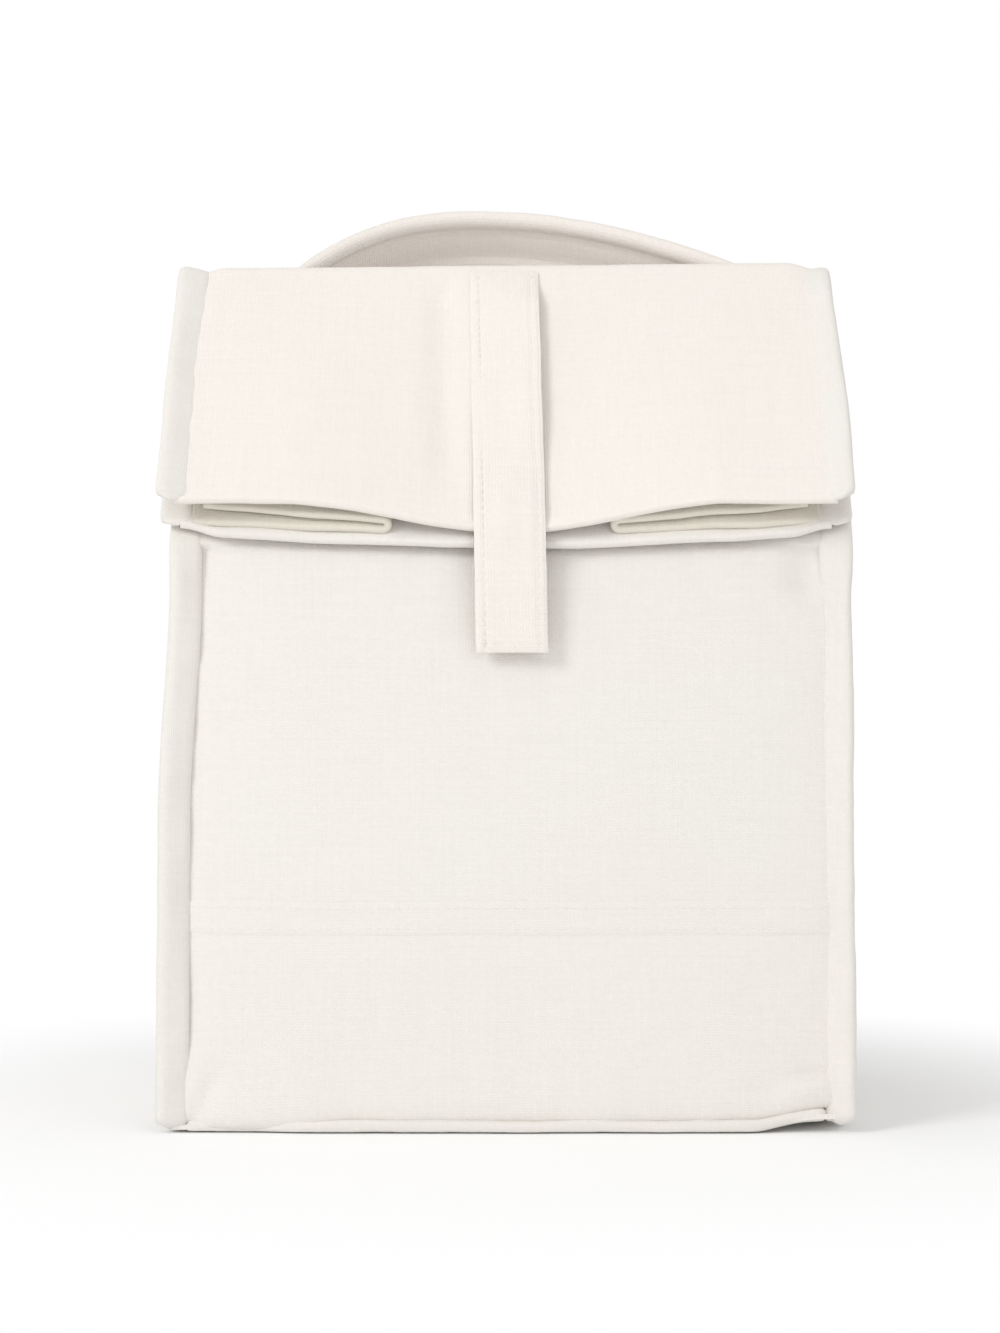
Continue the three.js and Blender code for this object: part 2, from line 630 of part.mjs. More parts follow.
piece(group, 'strap', profileX(ribbon(strapPath, STRAP_THICK), -strapHalf, strapHalf), webbing);
const hookFace = loopFace - PATCH_THICK - GAP;
piece(front, 'hook_patch', block(-patchHalf, patchHalf, hookFace - PATCH_THICK, hookFace,
  patchStart, patchStart + PATCH_LENGTH), hookTape);

export default group;
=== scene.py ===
"""Insulated lunch tote in cloth, on the CAD frame.

Walls, fold-over mouth, bindings, strap, handle, lining, stitches and studio.
"""

import json
import math

import bpy
import numpy as np
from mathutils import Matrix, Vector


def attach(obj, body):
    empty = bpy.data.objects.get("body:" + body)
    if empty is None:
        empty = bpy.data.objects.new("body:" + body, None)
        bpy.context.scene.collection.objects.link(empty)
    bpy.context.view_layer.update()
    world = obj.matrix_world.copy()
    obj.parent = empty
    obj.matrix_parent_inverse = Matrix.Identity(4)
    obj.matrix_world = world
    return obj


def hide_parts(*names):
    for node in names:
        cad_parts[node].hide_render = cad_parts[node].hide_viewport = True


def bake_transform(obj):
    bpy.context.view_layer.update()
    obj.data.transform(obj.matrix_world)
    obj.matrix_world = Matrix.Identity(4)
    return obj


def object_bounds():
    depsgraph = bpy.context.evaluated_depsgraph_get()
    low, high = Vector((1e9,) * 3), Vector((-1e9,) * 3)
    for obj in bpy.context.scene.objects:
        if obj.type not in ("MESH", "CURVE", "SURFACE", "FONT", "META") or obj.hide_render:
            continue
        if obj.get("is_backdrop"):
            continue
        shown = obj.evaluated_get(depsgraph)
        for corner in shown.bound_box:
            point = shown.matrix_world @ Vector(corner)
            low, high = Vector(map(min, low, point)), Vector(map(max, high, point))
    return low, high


bl_info = {
    "name": "Lunch Tote in Cloth",
    "version": (1, 0, 0),
    "blender": (4, 5, 0),
    "location": "3D View > Sidebar > Tote",
    "description": "Builds the cloth, seams, finishes and studio of a lunch tote on its CAD frame",
    "category": "Object",
}

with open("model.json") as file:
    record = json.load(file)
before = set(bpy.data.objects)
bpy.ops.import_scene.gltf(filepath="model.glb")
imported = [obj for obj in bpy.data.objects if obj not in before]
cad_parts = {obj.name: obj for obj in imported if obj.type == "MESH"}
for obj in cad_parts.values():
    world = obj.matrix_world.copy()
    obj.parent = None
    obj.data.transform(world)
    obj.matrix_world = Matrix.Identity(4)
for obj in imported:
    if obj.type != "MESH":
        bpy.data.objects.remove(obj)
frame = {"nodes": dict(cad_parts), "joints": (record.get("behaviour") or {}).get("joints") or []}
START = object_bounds()
MM = 0.001
SIDES = ((-1, "left"), (1, "right"))

# Side profile of the bag in millimetres, as points of y and z, from the joints of the frame
JOINT = {j["name"]: j for j in frame["joints"]}


def hinge(name):
    """The point of y and z on a joint's axis, in millimetres."""
    return np.array(JOINT[name]["pos_m"][1:]) / MM


def unit(v):
    """A vector of length one."""
    return np.asarray(v, float) / np.linalg.norm(v)


def point(x, p):
    """A point of the row frame in metres, from x and a point of y and z in millimetres."""
    return (x * MM, p[0] * MM, p[1] * MM)


RIDGE = hinge("rear_flap_unfold")
FOLD = hinge("front_flap_unfold")
SHOULDER = hinge("mouth_open")
UP = unit(JOINT["left_rear_pleat_spread"]["axis"][1:])
DOWN = -UP
OUT = np.array([-UP[1], UP[0]])
ROOF_UP = unit(RIDGE - SHOULDER)
ROOF_OUT = np.array([ROOF_UP[1], -ROOF_UP[0]])
PLY = 2.1
FRONT_TOP = 182
NECK_TOP = FOLD - PLY * OUT
FRONT = NECK_TOP - UP * ((NECK_TOP[1] - FRONT_TOP) / UP[1])
WALL_Y, BASE_Z = 66.2, 2.6
FOOT = np.array([-WALL_Y, BASE_Z])
MID_ROOF = SHOULDER + ROOF_UP * 52
STRAP_END = np.array([-64.3, 147.3])
STRAP_HEM = RIDGE + DOWN * 104.0

# Half widths, lengths of the flap's two leaves, thicknesses and spacings, in millimetres
EDGE, SEAM, WALL = 103.0, 101.5, 97.4
LEAF, FLAP = 95.0, 106.5
HEM, HEM_GAP, HEM_TURN = 17, 2, 0.99
CLOTH, PAD, LINER = 1.2, 2.8, 0.5
TAPE_PITCH, LINER_PITCH = 1.8, 3
STITCH_INSET = 2.6

# Pairs of points across the flap fold, the ridge, the shoulder and the strap's peel, given to
# blend
BEND_WAY = unit(np.array([0, 1]) + ROOF_UP)
FLAP_BLEND = (point(0, FOLD - 1.4 * OUT), point(0, FOLD - 0.1 * OUT))
RIDGE_BLEND = (point(0, RIDGE + (4, 0)), point(0, RIDGE + (-5, 0)))
SHOULDER_BLEND = (point(0, SHOULDER - 9 * BEND_WAY), point(0, SHOULDER + 9 * BEND_WAY))
PEEL = hinge("strap_peel")
STRAP_BLEND = (point(0, PEEL - 2 * DOWN), point(0, PEEL + 7 * DOWN))
SETTLED = {}


# Plain numbers and lines
def ease(t):
    """A smooth step from 0 to 1."""
    t = np.clip(t, 0, 1)
    return t * t * (3 - 2 * t)


def hump(x, centre, width):
    """A soft bump of height 1."""
    return np.exp(-(((x - centre) / width) ** 2))


def ripple(x, y, seed, octaves=3):
    """Smooth repeatable noise between about -1 and 1."""
    x, y = np.broadcast_arrays(np.asarray(x, float), np.asarray(y, float))
    total, amount = np.zeros(x.shape), 1.0
    for k in range(octaves):
        px, py = x * 2**k + 17.3 * k, y * 2**k - 9.1 * k
        ix, iy = np.floor(px), np.floor(py)
        fx, fy = ease(px - ix), ease(py - iy)

        def at(a, b):
            v = np.sin(a * 127.1 + b * 311.7 + seed * 74.7) * 43758.5453
            return 2 * (v - np.floor(v)) - 1

        low = at(ix, iy) * (1 - fx) + at(ix + 1, iy) * fx
        high = at(ix, iy + 1) * (1 - fx) + at(ix + 1, iy + 1) * fx
        total += amount * (low * (1 - fy) + high * fy)
        amount *= 0.5
    return total / 1.75


def run_of(points):
    """The distance along a row of points."""
    return np.concatenate([[0], np.cumsum(np.linalg.norm(np.diff(points, axis=0), axis=1))])


class Line:
    """A line in the plane of y and z: points, directions, distances."""

    def __init__(self, points, radii, pitch=2.4, bend=5.0):
        dense = self.turned([np.asarray(p, float) for p in points], radii)
        step = np.hypot(*np.diff(dense, axis=0).T)
        run = np.concatenate([[0], np.cumsum(step)])
        way = np.arctan2(*np.diff(dense, axis=0).T[::-1])
        turn = np.abs(np.diff(np.unwrap(way), prepend=np.unwrap(way)[0]))
        cost = np.concatenate([[0], np.cumsum(step / pitch + turn * bend / 1.57)])
        count = int(cost[-1]) + 2
        self.s = np.interp(np.linspace(0, cost[-1], count), cost, run)
        pick = lambda s: np.stack([np.interp(s, run, dense[:, k]) for k in (0, 1)], 1)
        self.p = pick(self.s)
        ahead = pick(np.minimum(self.s + 0.15, run[-1])) - pick(np.maximum(self.s - 0.15, 0))
        self.t = ahead / np.linalg.norm(ahead, axis=1)[:, None]
        self.left = np.stack([-self.t[:, 1], self.t[:, 0]], 1)
        self.length = run[-1]

    @staticmethod
    def turned(points, radii, step=0.15):
        """Close points along corners that are each turned with a radius."""
        parts = [points[0][None]]
        for a, b, c, r in zip(points, points[1:], points[2:], radii):
            u, v = unit(a - b), unit(c - b)
            half = 0.5 * math.acos(np.clip(u @ v, -1, 1))
            turn = math.pi - 2 * half
            centre = b + unit(u + v) * (r / math.sin(half))
            p0, p1 = b + u * r / math.tan(half) - centre, b + v * r / math.tan(half) - centre
            k = np.linspace(0, 1, max(6, int(turn * r / step) + 2))[:, None]
            arc = np.sin((1 - k) * turn) * p0 + np.sin(k * turn) * p1
            parts.append(centre + arc / math.sin(turn))
        parts.append(points[-1][None])
        rough = np.concatenate(parts)
        run = np.concatenate([[0], np.cumsum(np.hypot(*np.diff(rough, axis=0).T))])
        dense = np.append(np.arange(0, run[-1], step), run[-1])
        return np.stack([np.interp(dense, run, rough[:, k]) for k in (0, 1)], 1)

    def mark(self, spot):
        """The distance along the line nearest to a spot."""
        return self.s[np.argmin(np.hypot(*(self.p - spot).T))]


# Meshes
def place(name, data):
    """A new object at the origin of the scene."""
    obj = bpy.data.objects.new(name, data)
    bpy.context.scene.collection.objects.link(obj)
    return obj


def finish_mesh(name, verts, faces, uv, material, sharp=50):
    """A mesh object from millimetre points: faces outward, texture coordinates of the cloth."""
    verts = np.asarray(verts, float)
    tris = [(f[0], f[k], f[k + 1]) for f in faces for k in range(1, len(f) - 1)]
    tri = verts[np.array(tris)]
    volume = np.einsum("ij,ij->i", tri[:, 0], np.cross(tri[:, 1], tri[:, 2])).sum()
    if volume < 0:
        faces = [f[::-1] for f in faces]
    mesh = bpy.data.meshes.new(name)
    mesh.from_pydata((verts * MM).tolist(), [], [tuple(int(i) for i in f) for f in faces])
    index = np.zeros(len(mesh.loops), int)
    mesh.loops.foreach_get("vertex_index", index)
    layer = mesh.uv_layers.new(name="cloth")
    layer.data.foreach_set("uv", (np.asarray(uv, float)[index] * MM).astype(np.float32).ravel())
    mesh.shade_smooth()
    mesh.set_sharp_from_angle(angle=math.radians(sharp))
    mesh.materials.append(bpy.data.materials[material])
    return place(name, mesh)


def spread(across, along):
    """Texture coordinates of a grid from the distances along its two ways."""
    return np.stack(np.broadcast_arrays(across[None, :], along[:, None]), -1).reshape(-1, 2)


def shell(name, grid, thick, material, sharp=50):
    """A closed cloth shell of some thickness round a grid of middle points."""
    n, m, _ = grid.shape
    normal = np.cross(np.gradient(grid, axis=0), np.gradient(grid, axis=1))
    normal = normal / np.maximum(np.linalg.norm(normal, axis=2), 1e-9)[:, :, None]
    half = normal * (np.broadcast_to(thick, (n, m))[:, :, None] / 2)
    verts = np.concatenate([(grid + half).reshape(-1, 3), (grid - half).reshape(-1, 3)])
    at = np.arange(n * m).reshape(n, m)
    a, b, c, d = at[:-1, :-1], at[1:, :-1], at[1:, 1:], at[:-1, 1:]
    top = np.stack([a, b, c, d], -1).reshape(-1, 4)
    low = np.stack([d, c, b, a], -1).reshape(-1, 4) + n * m
    loop = np.concatenate([at[0, :], at[1:, -1], at[-1, -2::-1], at[-2:0:-1, 0]])
    after = np.roll(loop, -1)
    rim = np.stack([loop, after, after + n * m, loop + n * m], -1)
    uv = spread(run_of(grid[n // 2]), run_of(grid[:, m // 2]))
    faces = np.concatenate([top, low, rim]).tolist()
    return finish_mesh(name, verts, faces, np.concatenate([uv, uv]), material, sharp)


def tube(name, rings, material, sharp=60):
    """A closed tube through rings of points, with flat ends."""
    n, k, _ = rings.shape
    at = np.arange(n * k).reshape(n, k)
    nxt = np.roll(at, -1, axis=1)
    walls = np.stack([at[:-1], nxt[:-1], nxt[1:], at[1:]], -1).reshape(-1, 4).tolist()
    faces = walls + [at[0, ::-1].tolist(), at[-1].tolist()]
    uv = spread(run_of(rings[n // 2]), run_of(rings.mean(1)))
    return finish_mesh(name, rings.reshape(-1, 3), faces, uv, material, sharp)


def drape(line, xs, extra):
    """A grid over a line and a row of x, moved by extra in y and z."""
    grid = np.zeros((len(line.p), len(xs), 3))
    grid[:, :, 0] = xs[None, :]
    grid[:, :, 1:] = line.p[:, None, :] + extra
    return grid


def ride(piece, body, slot, *nodes):
    """Lets a piece move with one body, in place of CAD nodes."""
    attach(piece, body)
    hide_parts(*nodes)


def blend(piece, first, second, ends, slot, *nodes):
    """Bakes a piece's placement into its mesh and hides the CAD nodes it replaces."""
    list(ends)
    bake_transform(piece)
    if nodes:
        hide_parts(*nodes)


# Shapes that several pieces share
def shape():
    """The shape settings of this scene."""
    return bpy.context.scene.tote_shape


def settle():
    """Lets the canvas of the front and back walls swell between its sewn edges.

    A cloth simulation gives each wall's swelling, which is kept from 0 to 1.
    """
    SETTLED.clear()
    rows, cols, wide, high, apart = 56, 58, 0.195, 0.186, 0.5
    walls = ("front", "back")
    verts, faces, sewn = [], [], []
    for k in range(len(walls)):
        x, z = np.meshgrid(np.linspace(-wide / 2, wide / 2, cols), np.linspace(0, high, rows))
        y = 0.0006 * ripple(x / 0.03, z / 0.03, 120 + k) + apart * k
        at = np.arange(rows * cols).reshape(rows, cols) + len(verts)
        verts += np.stack([x, y, z], -1).reshape(-1, 3).tolist()
        cells = [at[:-1, :-1], at[:-1, 1:], at[1:, 1:], at[1:, :-1]]
        faces += np.stack(cells, -1).reshape(-1, 4).tolist()
        sewn += [*at[0], *at[-1], *at[1:-1, 0], *at[1:-1, -1]]
    mesh = bpy.data.meshes.new("wall_canvas")
    mesh.from_pydata(verts, [], faces)
    obj = place("wall_canvas", mesh)
    obj.vertex_groups.new(name="sewn").add([int(i) for i in sewn], 1.0, "REPLACE")
    cloth = obj.modifiers.new("cloth", "CLOTH")
    canvas = cloth.settings
    canvas.quality, canvas.mass, canvas.air_damping = 6, 0.3, 4
    canvas.tension_stiffness = canvas.compression_stiffness = canvas.shear_stiffness = 12
    canvas.bending_stiffness, canvas.shrink_min = 1.0, -0.012
    canvas.vertex_group_mass = "sewn"
    canvas.use_pressure, canvas.uniform_pressure_force = True, 4
    canvas.effector_weights.gravity = 0
    cloth.collision_settings.use_collision = False
    first, last = 1, 24
    cloth.point_cache.frame_start, cloth.point_cache.frame_end = first, last
    scene = bpy.context.scene
    for k in range(first, last + 1):
        scene.frame_set(k)
    done = obj.evaluated_get(bpy.context.evaluated_depsgraph_get())
    moved = np.array([v.co[1] for v in done.data.vertices]).reshape(len(walls), rows, cols)
    scene.frame_set(first)
    bpy.data.objects.remove(obj)
    for k, wall in enumerate(walls):
        swell = np.abs(moved[k] - apart * k)
        if swell.max() < 1e-4 or swell.max() > 0.08:
            raise RuntimeError(f"the {wall} canvas did not settle: {swell.max()} m")
        SETTLED[wall] = swell / swell.max()


def swelling(wall, x, z):
    """The swelling of a wall at x and height z: the settled canvas, or else a plain crown."""
    x, z = np.broadcast_arrays(np.asarray(x, float), np.asarray(z, float))
    crown = np.maximum(0.6 * (1 - np.abs(x / WALL) ** 7) + 0.4 * (1 - (x / WALL) ** 2), -0.2)
    crown = crown * ease((z + 6) / 15) * (1 - ease((z - 172) / 12))
    if wall not in SETTLED:
        return crown
    canvas = SETTLED[wall]
    rows, cols = canvas.shape
    u = np.clip((x / WALL + 1) / 2, 0, 1) * (cols - 1)
    v = np.clip((z + 6) / 190, 0, 1) * (rows - 1)
    i, j = np.minimum(v.astype(int), rows - 2), np.minimum(u.astype(int), cols - 2)
    a, b = v - i, u - j
    low = canvas[i, j] * (1 - b) + canvas[i, j + 1] * b
    high = canvas[i + 1, j] * (1 - b) + canvas[i + 1, j + 1] * b
    soft = low * (1 - a) + high * a
    return crown + shape().slack * (soft - crown) * (crown > 0)


def front_puff(x, z):
    """How far the padded front wall stands out, at x and height z."""
    s = shape()
    crown = swelling("front", x + np.sign(x) * 0.7 * ripple(z / 16, np.sign(x), 12), z)
    soft = 0.34 * ripple(x / 42 + 3, z / 50, 4)
    soft = soft + 0.20 * ripple(x / 12, z / 46 + 5, 9) * ease((70 - z) / 30)
    waist = -0.5 * hump(z, 64, 8) * (1 - np.abs(x / 98.5) ** 6)
    right = 1.5 * hump(x, 92, 7) * hump(z, 9.5, 3.5)
    right = right - 1.7 * hump(x + 0.4 * z, 101, 7) * hump(z, 15.5, 1.8)
    left = 0.9 * hump(x, -84, 16) * hump(z, 6, 5)
    left = left - 1.6 * hump(x - 0.5 * z, -97.5, 2.6) * ease((24 - z) / 14)
    top = -2.4 * hump(np.abs(x), 95, 7) * ease((z - 158) / 14)
    groove = -1.2 * hump(x, -97.8 + 2.4 * ease((z - 95) / 70), 2.6)
    groove = groove * (1 + 0.5 * ripple(z / 14, 3, 44))
    groove = groove * ease((z - 16) / 12) * (1 - ease((z - 158) / 14))
    return (s.puff / MM + soft + waist) * crown + s.wrinkle * (right + left + groove) + top


def front_lift(x, z):
    """How far the lower edge of the front is off the floor: the right corner is drawn up."""
    edge = 2.4 * ease((x + 78) / 34) + 3.6 * ease((x - 74) / 22) - 1.0
    return edge * ease((26 - z) / 26)


def wall_y(z):
    """The y of the flat front wall at height z."""
    return FOOT[0] + (FRONT[0] - FOOT[0]) * (z - FOOT[1]) / (FRONT[1] - FOOT[1])


def aside(x):
    """0 behind the strap and 1 out to the sides of the flap."""
    t = np.clip((np.abs(x) - 8) / 58, 0, 1)
    return 0.45 * t + 0.55 * ease(t)


def hem_rise(x, q):
    """How far the outer leaf's hem is drawn up at its ends, q of the way from ridge to hem."""
    return (5.6 * aside(x) + 0.4 * ripple(x / 22, 1, 3)) * q**1.5


def leaf_offset(x, q):
    """How far the outer leaf stands from its plane, q of the way from ridge to hem."""
    s = shape()
    middle = 1 - aside(x)
    sink = -s.sink / MM * middle * np.clip(q, 0, 1.1) ** 1.3
    belly = 1.2 * (1 - middle) * np.sin(np.pi * np.clip(q, 0, 1))
    belly = belly + 3.2 * (1 - middle) * np.clip(q, 0, 1) ** 1.5
    dent = -1.3 * hump(x, -21 + 3 * q, 5.5) * ease(q / 0.2) * (1 - ease((q - 0.7) / 0.3))
    slant = 0.7 * hump(x + 26 * q, -12, 2.6) - 0.6 * hump(x + 26 * q, -17, 2.6)
    pucker = slant * (1 - ease(q / 0.22)) + 0.5 * hump(x - 20 * q, 15, 2.4) * (1 - ease(q / 0.2))
    soft = 0.45 * ripple(x / 40, q * 2.2, 21) + 0.14 * ripple(x / 9, q * 1.3, 33)
    return sink + belly + s.wrinkle * (dent + pucker + soft * ease(q / 0.15))


def crease(y, z):
    """How far the side wall folds inward along its middle."""
    deep = shape().crease / MM
    soft = hump(y, 4 + 0.03 * z, 13 + 12 * (1 - np.clip(z / 190, 0, 1)))
    vee = 1 - np.clip(np.abs(y - 9.5) / 55, 0, 1)
    top = ease((z - 120) / 62)
    belly = 1.6 * (1 - ease((np.abs(y) - 30) / 34)) * ease(z / 30) * (1 - ease((z - 120) / 50))
    return deep * ease((z - 30) / 150) * (soft + (vee - soft) * top) - belly


def rounded(thick, left):
    """A thickness that closes in a round edge where no length is left."""
    k = np.clip(1 - left / (thick / 2), 0, 1)
    return thick * np.sqrt(np.maximum(1 - k**2, 0.03))


def tape_sway(x):
    """How far the front tape strays from a level line."""
    return 0.4 * ripple(x / 50, 1, 71)


# Cloth walls
def padding(name, node, grid):
    """A sheet of padding behind a wall's cloth."""
    piece = shell(name, grid, PAD, "tote_padding")
    ride(piece, "tub", "padding", node)


def front_cloth():
    """The front wall, the front of the neck and the inner leaf, from one length of canvas."""
    start = FOLD + PLY * OUT
    leaf = start + DOWN * LEAF
    back = leaf + HEM_GAP * OUT
    corners = [(-56, BASE_Z), FOOT, FRONT, NECK_TOP + PLY * UP, start + PLY * UP]
    corners += [leaf, back, back + HEM * UP]
    line = Line(corners, [2.5, 16, PLY - 0.01, PLY - 0.01, HEM_TURN, HEM_TURN])
    xs = np.linspace(-SEAM, SEAM, 121)
    x, z = xs[None, :], line.p[:, 1][:, None]
    on_wall = (line.s < line.mark(FRONT))[:, None]
    extra = np.where(on_wall, front_puff(x, z), 0.0)[:, :, None] * line.left[:, None, :]
    extra[:, :, 1] += np.where(on_wall, front_lift(x, z), 0.0)
    s0, s1 = line.mark(start), line.mark(leaf)
    q = np.clip((line.s - s0) / (s1 - s0), 0, 1)[:, None]
    rise = 5.2 * np.abs(x / 97) ** 1.6 + 2.6 * ease((np.abs(x) - 88) / 12)
    rise = (rise + 0.6 * ripple(x / 30, 0, 5)) * ease(q)
    wave = 0.5 * ripple(x / 25, q * 2, 8) * q - 1.0 * ease(q / 0.2)
    extra += rise[:, :, None] * UP + wave[:, :, None] * OUT
    grid = drape(line, xs, extra)
    flare = 0.006 * (90 - np.clip(line.p[:, 1], 0, 180))[:, None] / 90
    grid[:, :, 0] *= 1 + flare * on_wall
    grid[:, :, 2] = np.maximum(grid[:, :, 2], 0.8)
    piece = shell("front_cloth", grid, CLOTH, "tote_canvas")
    nodes = ("front_panel", "front_neck_panel", "front_flap_panel", "front_rim_hem")
    blend(piece, "tub", "front_flap", FLAP_BLEND, "canvas", *nodes)
    rows = (line.p[:, 1] > 12) & (line.p[:, 1] < 174) & on_wall[:, 0]
    padding("front_padding", "foam_front", grid[rows][:, 4:-4] + (0, 2.5, 0))


def rear_cloth():
    """The back wall with the lower roof, then the upper roof with the outer leaf."""
    line = Line([(56, BASE_Z), (WALL_Y, BASE_Z), SHOULDER, MID_ROOF], [6, 14])
    xs = np.linspace(-SEAM, SEAM, 91)
    x, z = xs[None, :], line.p[:, 1][:, None]
    on_wall = (1 - ease((z - 150) / 34)) * (line.p[:, 0] > 60)[:, None]
    out = shape().puff / MM + 0.5 * ripple(x / 38, z / 46, 14)
    out = out * swelling("back", x, z) * on_wall
    grid = drape(line, xs, -out[:, :, None] * line.left[:, None, :])
    piece = shell("back_cloth", grid, CLOTH, "tote_canvas")
    blend(piece, "tub", "rear_neck", SHOULDER_BLEND, "canvas", "back_panel")
    rows = (line.p[:, 1] > 12) & (line.p[:, 1] < 178) & (line.p[:, 0] > 60)
    padding("back_padding", "foam_back", grid[rows][:, 4:-4] - (0, 2.5, 0))

    hem = RIDGE + DOWN * FLAP
    back = hem - HEM_GAP * OUT
    corners = [MID_ROOF, RIDGE + (0, 2.4), hem, back, back + HEM * UP]
    line = Line(corners, [3.4, HEM_TURN, HEM_TURN])
    xs = np.linspace(-SEAM - 1, SEAM + 1, 141)
    x = xs[None, :]
    top, past = line.mark(RIDGE + (0, 1)), line.mark(hem)
    q = np.clip((line.s - top) / (past - top), 0, 1)[:, None]
    on_leaf = ease((line.s - top - 2) / 8)[:, None]
    extra = (leaf_offset(x, q) * on_leaf)[:, :, None] * OUT
    extra = extra + hem_rise(x, q)[:, :, None] * UP
    crest = 0.9 * x / 97 + 0.35 * ripple(x / 30, 4, 6) - 2.2 * ease((np.abs(x) - 92) / 10)
    extra[:, :, 1] += hump(line.s, top, 10)[:, None] * crest
    grid = drape(line, xs, extra)
    piece = shell("outer_leaf_cloth", grid, CLOTH, "tote_flap_canvas")
    nodes = ("rear_neck_panel", "rear_flap_panel", "rear_rim_hem")
    blend(piece, "rear_neck", "rear_flap", RIDGE_BLEND, "canvas", *nodes)


def triangle(name, corners, weights, material, thick=CLOTH, count=14):
    """A three-cornered piece of cloth, and the two points between which its weight runs."""
    a, b, c = (np.asarray(p, float) for p in corners)
    e1, e2 = b - a, c - a
    normal = unit(np.cross(e1, e2))
    inward = np.sign(normal @ (np.array([0, 8, 215]) - (a + b + c) / 3))
    where, verts, uv = {}, [], []
    for i in range(count + 1):
        for j in range(count + 1 - i):
            u, v = i / count, j / count
            bulge = 0.9 * inward * max(0.0, 27 * u * v * (1 - u - v)) ** 0.8
            where[i, j] = len(verts)
            verts.append(a + e1 * u + e2 * v + normal * bulge)
            uv.append((u * np.linalg.norm(e1), v * np.linalg.norm(e2)))
    size = len(verts)
    half = normal * thick / 2
    verts = [p + half for p in verts] + [p - half for p in verts]
    faces = []
    for i in range(count):
        for j in range(count - i):
            cells = [(where[i, j], where[i + 1, j], where[i, j + 1])]
            if i + j < count - 1:
                cells.append((where[i + 1, j], where[i + 1, j + 1], where[i, j + 1]))
            faces += cells + [tuple(size + k for k in cell[::-1]) for cell in cells]
    loop = [where[i, 0] for i in range(count)]
    loop += [where[count - i, i] for i in range(count)]
    loop += [where[0, count - i] for i in range(count)]
    faces += [(k, k + size, n + size, n) for k, n in zip(loop, loop[1:] + loop[:1])]
    piece = finish_mesh(name, verts, faces, uv + uv, material)
    gram = np.array([[e1 @ e1, e1 @ e2], [e1 @ e2, e2 @ e2]])
    gain = [weights[1] - weights[0], weights[2] - weights[0]]
    slope = np.linalg.solve(gram, gain) @ np.array([e1, e2])
    reach = slope / (slope @ slope)
    start = a - reach * weights[0]
    return piece, start * MM, (start + reach) * MM


def gussets(sign, name):
    """The gussets of one side, which fold inward under the gable."""
    side = lambda x, p: np.array((sign * x, p[0], p[1]))
    sewn = 95.6
    low_front = side(sewn, FRONT + (2.6, 2.0))
    low_back = side(sewn, SHOULDER + (-1.0, -0.8))
    low_mid = side(93.4 - shape().crease / MM, (9, 186))
    top_front = side(sewn, FOLD - 3.4 * OUT - 2 * UP)
    top_back = side(sewn, RIDGE - 4 * ROOF_UP - 0.9 * ROOF_OUT)
    roof_mid = low_back + (top_back - low_back) * 0.4
    deep = side(38, FOLD - 9 * OUT + 8 * UP)
    crown = side(80, FOLD + 6.4 * OUT + 0.5 * UP)
    parts = [
        ("front_low", (low_front, low_mid, deep), (-0.35, 0, 0.7)),
        ("front_high", (low_front, deep, top_front), (-0.35, 0.7, -0.35)),
        ("rear_low", (low_mid, low_back, roof_mid), (0, 0.5, 1)),
        ("rear_mid", (low_mid, roof_mid, top_back), (0, 1, 1)),
        ("rear_high", (low_mid, top_back, deep), (0, 1, 0.7)),
        ("crown", (crown, deep, top_back), (0.55, 0.7, 1)),
    ]
    for part, corners, weights in parts:
        made = triangle(f"{name}_gusset_{part}", corners, weights, "tote_canvas")
        nodes = [f"{name}_neck_gusset"] if part == "front_low" else []
        blend(made[0], "tub", "rear_neck", made[1:], "canvas", *nodes)
        a, b, c = (p * MM for p in corners)
        base = max(np.linalg.norm(edge) for edge in (b - a, c - a, c - b))


def side_walls():
    """Both side walls with their soft middle crease, their padding and their gussets."""
    zs = np.concatenate([np.linspace(3, 20, 9), np.linspace(23, 190.5, 64)])
    padded, neck, gable, back_y = 67, 180, 190, 64.6
    front = FRONT[0] + 3.4 + (zs - neck) * UP[0] / UP[1]
    front = np.where(zs < neck, wall_y(zs) + 1.2, front)[:, None]
    back = back_y + (zs - gable) * ROOF_UP[0] / ROOF_UP[1] - 2.2
    back = np.where(zs < gable, back_y, back)[:, None]
    y = front + (back - front) * np.linspace(0, 1, 55)[None, :]
    z = np.broadcast_to(zs[:, None], y.shape)
    near = hump(y, front, 5) + hump(y, back, 5)
    flare = 2.6 * near * (1 - ease((z - 172) / 14))
    tuck = 0.9 * np.clip(z - 184.5, 0, None) * (1 - np.clip(np.abs(y - 9) / 52, 0, 1) ** 1.5)
    for sign, name in SIDES:
        soft = 0.35 * ripple(y / 30, z / 44, 40 + sign)
        out = 97.2 - crease(y, z) - tuck + flare + soft * ease(z / 30)
        grid = np.stack([sign * out, y, z], -1)
        piece = shell(f"{name}_side_cloth", grid, CLOTH, "tote_canvas")
        ride(piece, "tub", "canvas", f"{name}_side_panel")
        inner = grid[:padded, 2:-2].copy()
        inner[:, :, 0] -= sign * (2.4 + 2.2 * near[:padded, 2:-2])
        padding(f"{name}_side_padding", f"foam_{name}", inner)
        gussets(sign, name)


